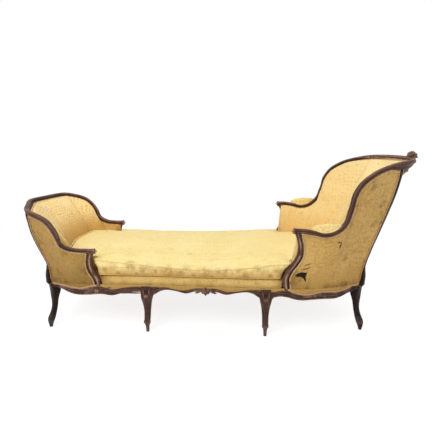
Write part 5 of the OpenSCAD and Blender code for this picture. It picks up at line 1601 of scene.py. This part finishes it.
# The loose cushion. A long box cushion of feathers and down in the same silk, widened in front of
# the arms to fill the seat from end to end, with a corded seam round its top and bottom. It has
# flattened in the middle, crowns towards its ends, and its border is creased and grubby.
# The cushion's silk is painted paler than the rest, as painted light on its top; its low colour is painted shade.
silk_cushion = silk_paint(
    "silk_cushion", (250, 226, 150), (238, 204, 118), (222, 178, 96), (255, 240, 182),
    (204, 160, 84), 0.325, 0.372, 0.4, (156, 106, 46), 0.4, 0.14, 0.03)
# The arm pads' silk is painted paler, as painted light on their tops, and darker below as painted shade.
silk_arm_pad = silk_paint(
    "silk_arm_pad", (246, 218, 144), (216, 178, 100), (176, 128, 60), (252, 232, 170),
    (206, 166, 88), 0.5, 0.51, 0.5, (150, 108, 48), 0.4, 0.35)
CUSHION_H = 86.0
CLEAR = 5
EDGE_IN = 13
REST_Z = 0.3143
SAG = rows([-1, 0], [-0.7, 0.05], [-0.5, 0.45], [-0.15, 0.95], [0.05, 1], [0.22, 0.85], [0.38, 0.42],
           [0.52, 0.08], [1, 0])


def pad_inner_at(wall, t, z):
    """Inner face of the padding at a height, in plan."""
    marks = [pad_point(wall, t, k / 6, 1.0) for k in range(7)]
    i = 0
    while i < 5 and z >= marks[i + 1][2]:
        i += 1
    a, b = marks[i], marks[i + 1]
    return blend(a, b, (z - a[2]) / (b[2] - a[2]))[:2]


def cushion_end(wall, z):
    found = []
    t = wall.middle
    while t >= 1:
        p = pad_inner_at(wall, t, z)
        away = np.array([1.0, 0]) if t == wall.middle else unit(p - np.array([wall.base(0)[0], 0]))
        found.append(p - CLEAR * away)
        t -= 0.5
    return found


def cushion_ear(wall, z):
    middle, _, half = wall.support_plan(wall.support_share(z))
    x = min(middle - half, wall.line(0)[0]) - CLEAR
    inner = pad_inner_at(wall, 0.5, z)[1] + CLEAR
    outer = wall.base(0)[1] + EDGE_IN
    return [np.array(p) for p in ([x + 14, inner], [x + 4.62, inner - 4.62], [x + 1.68, inner - 14],
                                  [x, outer + 14], [x - 4.62, outer + 4.62], [x - 14, outer])]


def cushion_half(z):
    def turned(points):
        return [p * [-1, 1] for p in points]
    return (turned(cushion_end(foot_wall, z) + cushion_ear(foot_wall, z))
            + turned([foot_wall.base(-1) + [0, EDGE_IN], foot_wall.base(-2) + [0, EDGE_IN]])
            + [centre(blend(1, 3, i / 6)) + [0, EDGE_IN] for i in range(1, 6)]
            + [head_wall.base(-2) + [0, EDGE_IN], head_wall.base(-1) + [0, EDGE_IN]]
            + cushion_ear(head_wall, z)[::-1] + cushion_end(head_wall, z)[::-1])


ends_x = [cushion_half(DECK_TOP)[k][0] for k in (0, -1)]
mid_x, half_l = sum(ends_x) / 2, (ends_x[1] - ends_x[0]) / 2
sag_marks = np.linspace(-1, 1, 201)
sag_values = np.array([read(SAG, mark)[1] for mark in sag_marks])


def sag_at(x):
    """How far the cushion has flattened at a place along it in millimetres, from 0 to 1."""
    return float(np.interp((x - mid_x) / half_l, sag_marks, sag_values))


def edge_height(x):
    """Thickness of the cushion's edge at a place along it, in millimetres."""
    return CUSHION_H - 29 * sag_at(x)


def cushion_seam(height, inset):
    """Closed line round the cushion at a share of its edge height, in metres."""
    plan = cushion_half(DECK_TOP + 0.3 + CUSHION_H * min(1, height))
    plan = plan + [p * [1, -1] for p in plan[-2:0:-1]]
    return [Vector(((mid_x + (p[0] - mid_x) * (1 - inset / half_l)) / 1000, p[1] * (1 - inset / 370) / 1000,
                    (DECK_TOP + 0.3 + edge_height(p[0]) * height) / 1000)) for p in plan]


def evenly(line, gap):
    """The closed line again, with points an even distance apart."""
    found, carry = [], 0.0
    for k, a in enumerate(line):
        b = line[(k + 1) % len(line)]
        length = (b - a).length
        while carry < length:
            found.append(a.lerp(b, carry / length))
            carry += gap
        carry -= length
    return found


def creases(p, rise):
    """How far a point of the cushion's border stands out: folds, and puckers under the seams."""
    way = p[0] + p[1] * 1.3
    fold = ripple(way * 34, p[2] * 14, 1.0) * 0.0046 + ripple(way * 75, p[2] * 30, 5.0) * 0.0024
    tuck = 0.0016 * math.sin(way * 210 + 4 * ripple(way * 12, 0, 0))
    at_seams = bump_at(rise, 0.08, 0.16) + bump_at(rise, 0.9, 0.16)
    return 1.25 * fold * math.sin(math.pi * rise) + tuck * at_seams


def rise_at(p):
    return clamp((p[2] - REST_Z) / edge_height(p[0] * 1000) * 1000)


def waved(p):
    """How the cushion has moved from its cut shape: slumped to the near side, full at its ends."""
    soft = ripple(p[0] * 5.5, p[1] * 5.5, 2.0)
    small = ripple(p[0] * 17, p[1] * 17, 6.0)
    rise = rise_at(p)
    over = clamp((p[1] + 0.34) / 0.68)
    slump = sag_at(p[0] * 1000) * blend(-0.014, 0.017, over * over * (3 - 2 * over))
    full = 0.022 * bump_at(p[0], -0.92, 0.21)
    ear = clamp((abs(p[1]) - 0.27) / 0.04) * clamp(rise * 1.5 - 0.2)
    aside = -0.015 * ear * clamp((-p[0] - 0.595) / 0.03) + 0.006 * ear * clamp((p[0] - 0.35) / 0.03)
    return np.array([aside, 0.0015 * soft * rise, (0.0036 * soft + 0.0014 * small + slump + full) * rise])


cushion = soft_copy("cushion", "cushion_filled", 0.0095)
start = read_points(cushion.data)
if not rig.quick():
    seams = evenly(cushion_seam(1.0, 1.0), 0.006)
    tree = KDTree(len(seams))
    for k, p in enumerate(seams):
        tree.insert(p, k)
    tree.balance()
    held = cushion.vertex_groups.new(name="seams")
    for i, p in enumerate(start):
        away = tree.find(Vector(p))[2]
        if p[2] < 0.3175 or away < 0.008:
            held.add([i], 1.0, "REPLACE")
        elif away < 0.013:
            held.add([i], 0.7, "REPLACE")
    slack = start.copy()
    slack[:, 2] -= 0.004 * np.clip((start[:, 2] - 0.385) / 0.03, 0, 1)
    set_points(cushion.data, slack)
    cloth = cushion.modifiers.new("filling", "CLOTH")
    for name, value in (("quality", 4), ("mass", 0.3), ("tension_stiffness", 12),
                        ("compression_stiffness", 12), ("shear_stiffness", 4), ("bending_stiffness", 0.4),
                        ("use_pressure", True), ("uniform_pressure_force", 4.0),
                        ("vertex_group_mass", "seams")):
        setattr(cloth.settings, name, value)
    cloth.settings.effector_weights.gravity = 0.0
    cloth.collision_settings.use_collision = False
    for step in range(1, 21):
        bpy.context.scene.frame_set(step)
    filled = read_points(cushion.evaluated_get(bpy.context.evaluated_depsgraph_get()).data)
    cushion.modifiers.clear()
    bpy.context.scene.frame_set(1)
    moved = filled - start
    moved[:, :2] = np.clip(moved[:, :2], -0.0035, 0.0035)
    moved[:, 2] = np.clip(moved[:, 2], -0.003, 0.024)
    start = start + moved
    start[:, 2] = np.maximum(start[:, 2], REST_Z)
set_points(cushion.data, start)
finer = cushion.modifiers.new("finer", "SUBSURF")
finer.levels = finer.render_levels = 1
settle(cushion)
points, normals = read_points(cushion.data), read_points(cushion.data, "normal")
for i, (p, n) in enumerate(zip(points.copy(), normals)):
    side = math.hypot(n[0], n[1])
    moved = waved(p)
    if side > 0.25:
        moved = moved + level(n) * side * creases(p, rise_at(p))
    elif p[2] > 0.33:
        moved[2] += 0.0016 * ripple(p[0] * 30, p[1] * 60, 3.0)
    points[i] += moved
set_points(cushion.data, points)


def near_edge(x):
    """Distance out from the middle line to the cushion's near edge, at a place along it in metres."""
    if x < -0.37:
        return (foot_wall.base(-1)[1] + EDGE_IN) / 1000
    return (centre(clamp((x * 1000 + 370.5) / 317.5 + 1, 0, 3.3))[1] + EDGE_IN) / 1000


spots = [((-0.145, -0.17, 0.38), 0.022, 0.6), ((0.13, -0.25, 0.37), 0.012, 0.6),
         ((-0.2, -0.16, 0.385), 0.014, 0.35)]
for k in range(34):
    x = -0.62 + 0.0335 * k
    lift = max(0.002, 0.008 + 0.05 * (0.5 + ripple(k * 0.9, 2.0, 0)))
    spots.append(((x, near_edge(x), 0.315 + lift), 0.016 + 0.01 * (k % 3), 0.45 + 0.35 * (k % 2)))
dress(cushion, silk_cushion, "cushion", "cushion", spots, 0.55)


def cord_round(line, radius):
    """Covered cord sewn into a seam, following the closed line as it wanders with the cushion."""
    path = [np.array(p) + waved(p) for p in evenly(line, 0.007)]
    rings = []
    for k, p in enumerate(path):
        d = unit(path[(k + 1) % len(path)] - path[k - 1])
        side = unit(np.cross(d, [0, 0, 1.0]))
        lift = np.cross(side, d)
        r = radius * (1 + 0.12 * noise.noise(Vector(p) * 120))
        rings.append([(p + r * (math.cos(a) * side + math.sin(a) * lift)) * 1000 for a in angles(10)])
    rings.append(rings[0])
    return loft(rings, ends=False)


for name, height, inset in (("top", 1.0, 1.5), ("bottom", 0.07, 3.5)):
    part = cord_round(cushion_seam(height, inset), 0.0027)
    piece = solid(f"cushion_{name}_cord", part, silk_cushion, body="cushion", slot="damask", sharp=80)
    soil_at(piece, [((k * 0.11 - 0.6, -0.345, 0.36), 0.045, 0.5) for k in range(11)])

# Arm pads at the head end: a roll of horsehair on each arm under a cap of silk, tacked all round
# under a gimp, plump in the middle and drawn in to nothing at its ends.
for side, far in SIDES:
    rings = []
    for k in range(57):
        f = k / 56
        t = blend(1.75, 4.55, f)
        swell = max(0.1, math.sin(math.pi * f)) ** 0.5
        n, u = level(head_wall.line_out(t)), head_wall.up(t)
        p = head_wall.line(t) + 0.5 * u
        ring = []
        for i in range(23):
            a = math.pi * i / 22
            soft = 1 + 0.03 * ripple(t * 3.1, i * 0.25, 1.0) + 0.012 * math.sin(t * 26) * bump_at(a, 0, 0.6)
            wide = swell * soft * (12 + 5.5 * math.sin(a))
            ring.append(p + (wide * math.cos(a) - 13) * n + 46 * swell * soft * math.sin(a) ** 0.62 * u)
        rings.append(ring)
    piece = solid(f"arm_pad_{side}_stuffed", loft(rings, far=far), silk_arm_pad, node=f"arm_pad_{side}",
                  slot="damask", sharp=70)
    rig.padded(soil_at(piece), fill=0.9)

# Cloth turned down over the seat rails. The deck's silk and the covers' silk end in the waved rebate
# of the rails, and a band of worn pinkish gimp hides the cut edge and the tacks of the covers.
gimp = silk_paint(
    "gimp", (190, 148, 104), (150, 108, 70), (216, 184, 140), (222, 190, 150),
    (186, 146, 104), 0.25, 0.28, 0.3, (120, 84, 46), 0.5, 0.6)


def show_line(kind, share):
    """Height of the lower edge of the rebate on the face of a seat rail."""
    return min(257.5, RAIL_TOP - 18 * read(SHOW[kind], share)[1])


def turned_down(face, out, kind, share, proud):
    """Section of the cloth in the rebate of a seat rail, from its show line to above the rail."""
    low = show_line(kind, share) + 0.6
    return [[*(face + d * out), z] for d, z in (
        (proud, 268), (proud + 1.0, 263.5), (min(-1.6, proud + 1.6), blend(low, 263, 0.5)), (-3, low + 1.3),
        (-4.6, low), (-7.6, low + 0.4), (-7.6, 260.6), (proud - 1.6, 261), (proud - 1.8, 264.5),
        (proud - 1.6, 268))]


def low_band(face, out, kind, share):
    """Section of the braid band that hides the cut edge of the turned down cloth."""
    low = show_line(kind, share) + 0.4
    return [[*(face + d * out), z] for d, z in (
        (-1.4, low + 9.5), (0.9, low + 8.6), (1.5, low + 5), (0.7, low + 1.5), (-1.5, low), (-5, low),
        (-5, low + 9))]


def in_rebate(section, wall, kind, steps, *proud):
    """Rings of a section along the rails of an end; the kind is "end" on the end rail itself."""
    c = wall.corner
    rings = []
    for t in steps:
        share = (t - c) / (wall.last - 2 * c) if kind == "end" else clamp(side_share(wall, t))
        rings.append(section(wall.base(t), wall.base_out(t), kind, share, *proud))
    return rings


for side, far in SIDES:
    parts = [loft([turned_down(centre(t), centre_out(t), "centre", clamp((t - 1) / 2), -7.4)
                   for t in spaced(1, 3, 0.02)], far=far)]
    parts += [loft(in_rebate(turned_down, wall, end, spaced(-2, 0.04, 0.06), -7.4), foot, far)
              for end, wall, foot in ENDS]
    soil_at(solid(f"seat_cloth_turned_down_{side}", joined(*parts), silk_deck, slot="damask"))
for end, wall, foot in ENDS:
    c = wall.corner
    cloth = silk_outside_foot_painted_shade if foot else silk_outside_head
    lead = 22 / wall.step_l(c)
    strips = [(side, far, end, spaced(0.08, c - 22 / wall.step_l(c - 1), 0.07)) for side, far in SIDES]
    strips.append(("back", False, "end", spaced(c + lead, wall.last - c - lead, 0.07)))
    for side, far, kind, steps in strips:
        part = loft(in_rebate(turned_down, wall, kind, steps, 0.2), foot, far)
        soil_at(solid(f"cover_turned_down_{end}_{side}", part, cloth, slot="damask_outside"))
        part = loft(in_rebate(low_band, wall, kind, steps), foot, far)
        soil_at(solid(f"gimp_band_{end}_{side}", part, gimp, slot="damask_outside"))

# The lining behind the torn cover: a sheet of old hessian tacked across the frame of the arm and
# seen through the rip, painted almost black as the shadow inside the arm.
lining_painted_shadow = jute_paint("lining_painted_shadow", colour(7, 4, 3), colour(22, 14, 10))
heights = [blend(272, 440, k / 10) for k in range(11)]
rings = [[[*(head_wall.at(t, z, 21)[:2] - depth * head_wall.out(t, z)), z]
          for depth, column in ((13, heights), (15, heights[::-1])) for z in column]
         for t in spaced(0.8, 3.7, 0.1)]
solid("arm_lining_head_near", loft(rings, strip=True), lining_painted_shadow, slot="webbing")

# The gimp itself: a narrow braid of woven knots, glued over the tacks along the edges of the pads and
# the outside covers. Each knot is set by the same small maker, a little uneven in size.


def braid_nodes():
    """Node group that sets one woven knot on every point of a path."""
    group = bpy.data.node_groups.new("braid", "GeometryNodeTree")
    group.interface.new_socket("Path", in_out="INPUT", socket_type="NodeSocketGeometry")
    sockets = {}
    for name in ("Knot length", "Knot width", "Knot thickness", "Unevenness", "Braid"):
        kind = "NodeSocketMaterial" if name == "Braid" else "NodeSocketFloat"
        sockets[name] = group.interface.new_socket(name, in_out="INPUT", socket_type=kind).identifier
    group.interface.new_socket("Braid mesh", in_out="OUTPUT", socket_type="NodeSocketGeometry")
    add = functools.partial(new_node, group)
    given = group.nodes.new("NodeGroupInput")
    knot = add("GeometryNodeMeshUVSphere", {"Segments": 6, "Rings": 4, "Radius": 0.5})
    size = add("ShaderNodeCombineXYZ", {0: given.outputs["Knot length"], 1: given.outputs["Knot width"],
                                        2: given.outputs["Knot thickness"]})
    shaped = add("GeometryNodeTransform", {"Geometry": knot.outputs["Mesh"], "Scale": size.outputs[0]})
    along = add("GeometryNodeInputNamedAttribute", {"Name": "along"}, data_type="FLOAT_VECTOR")
    facing = add("GeometryNodeInputNamedAttribute", {"Name": "facing"}, data_type="FLOAT_VECTOR")
    turn = add("FunctionNodeAlignRotationToVector", {"Vector": along.outputs["Attribute"]}, axis="X")
    turn = add("FunctionNodeAlignRotationToVector", {
        "Rotation": turn.outputs[0], "Vector": facing.outputs["Attribute"]}, axis="Z", pivot_axis="X")
    uneven = add("ShaderNodeMath", {0: 1.0, 1: given.outputs["Unevenness"]}, operation="ADD")
    least = add("ShaderNodeMath", {0: 1.0, 1: given.outputs["Unevenness"]}, operation="SUBTRACT")
    vary = add("FunctionNodeRandomValue", {"Min": least.outputs[0], "Max": uneven.outputs[0], "Seed": 11},
               data_type="FLOAT")
    vary_out = next(o for o in vary.outputs if o.enabled)
    for name, socket in (("Min", least.outputs[0]), ("Max", uneven.outputs[0])):
        for slot in vary.inputs:
            if slot.name == name and slot.type == "VALUE":
                group.links.new(socket, slot)
    placed = add("GeometryNodeInstanceOnPoints", {
        "Points": given.outputs["Path"], "Instance": shaped.outputs[0], "Rotation": turn.outputs[0],
        "Scale": vary_out})
    real = add("GeometryNodeRealizeInstances", {0: placed.outputs[0]})
    smooth = add("GeometryNodeSetShadeSmooth", {0: real.outputs[0]})
    painted = add("GeometryNodeSetMaterial", {
        "Geometry": smooth.outputs[0], "Material": given.outputs["Braid"]})
    add("NodeGroupOutput", {0: painted.outputs[0]})
    return group, sockets


braid_group, braid_sockets = braid_nodes()


def braided(name, paths, foot, far, width=8.5):
    """Braid along paths; each is a list of points with the ways that they face, in millimetres."""
    spots, ways, facings = [], [], []
    for path in paths:
        points, facing = (mirrored(np.array([pair[i] for pair in path], float), foot, far) for i in (0, 1))
        far_along = running(np.linalg.norm(points[1:] - points[:-1], axis=1))
        marks = np.arange(2, far_along[-1], 4.3)
        even, turned = (np.stack([np.interp(marks, far_along, values[:, k]) for k in range(3)], axis=1)
                        for values in (points, facing))
        spots.append(even / 1000)
        ways.append(np.gradient(even, axis=0))
        facings.append(turned)
    mesh = bpy.data.meshes.new(name)
    mesh.from_pydata(np.concatenate(spots).tolist(), [], [])
    for title, values in (("along", ways), ("facing", facings)):
        layer = mesh.attributes.new(title, "FLOAT_VECTOR", "POINT")
        layer.data.foreach_set("vector", np.concatenate(values).astype(np.float32).ravel())
    piece = bpy.data.objects.new(name, mesh)
    bpy.context.collection.objects.link(piece)
    maker = piece.modifiers.new("braid", "NODES")
    maker.node_group = braid_group
    for title, value in (("Knot length", 0.0062), ("Knot width", width / 1000), ("Knot thickness", 0.0034),
                         ("Unevenness", 0.12), ("Braid", gimp)):
        maker[braid_sockets[title]] = value
    settle(piece)
    laid_flat(piece.data)
    soil_at(piece)
    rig.ride(piece, "frame")
    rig.slot(piece, "damask_outside")


def facing_at(wall, t, z, inside=False):
    out = wall.out(t, z) * (-1 if inside else 1)
    return np.array([out[0], out[1], 0.25 if inside else 0.0])


def on_cover(wall, t, f):
    """Place of the braid on an outside cover at a step and a row, and the way that it faces."""
    return cover_point(wall, t, f) + 2.4 * level(wall.out(t, FACING_Z)), facing_at(wall, t, FACING_Z)


for end, wall, foot in ENDS:
    c = wall.corner
    near_top = 5.93
    for side, far in SIDES:
        edge = [on_cover(wall, t, near_top) for t in spaced(FROM_SUPPORT, c - 14 / wall.step_l(c - 1), 0.1)]
        post = []
        for f in reversed(LEVELS[3:-1]):
            p = cover_point(wall, c, f, -1)
            n = level(wall.out(c, p[2]))
            post.append((p + 2.4 * n + 4 * np.array([n[1], -n[0], 0]), facing_at(wall, c, p[2])))
        front = [(p + np.array([4, -2.2, 0]), facing_at(wall, 0, p[2]))
                 for p in (support_point(wall, f) for f in LEVELS[1:-1])]
        ends = support_point(wall, near_top), cover_point(wall, FROM_SUPPORT, near_top)
        first = [(blend(*ends, k / 8) + 2.4 * level(wall.out(0, FACING_Z)), facing_at(wall, 0, FACING_Z))
                 for k in range(9)]
        braided(f"gimp_cover_{end}_{side}", [edge, post, front, first], foot, far)
    top_edge = [on_cover(wall, t, 5.9) for t in spaced(c + 1.1, wall.last - c - 1.1, 0.1)]
    braided(f"gimp_cover_{end}_back", [top_edge], foot, False)
    round_top = [(pad_point(wall, t, 0.985, 1.0, 1.0) + np.array([0, 0, 0.5]),
                  facing_at(wall, t, FACING_Z, True)) for t in spaced(0.8, wall.last - 0.8, 0.1)]
    braided(f"gimp_inside_{end}", [round_top], foot, False, 7)

sizes["visual"] = [list(corner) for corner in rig.bounds()]
with open("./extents.json", "w") as file:
    json.dump(sizes, file)
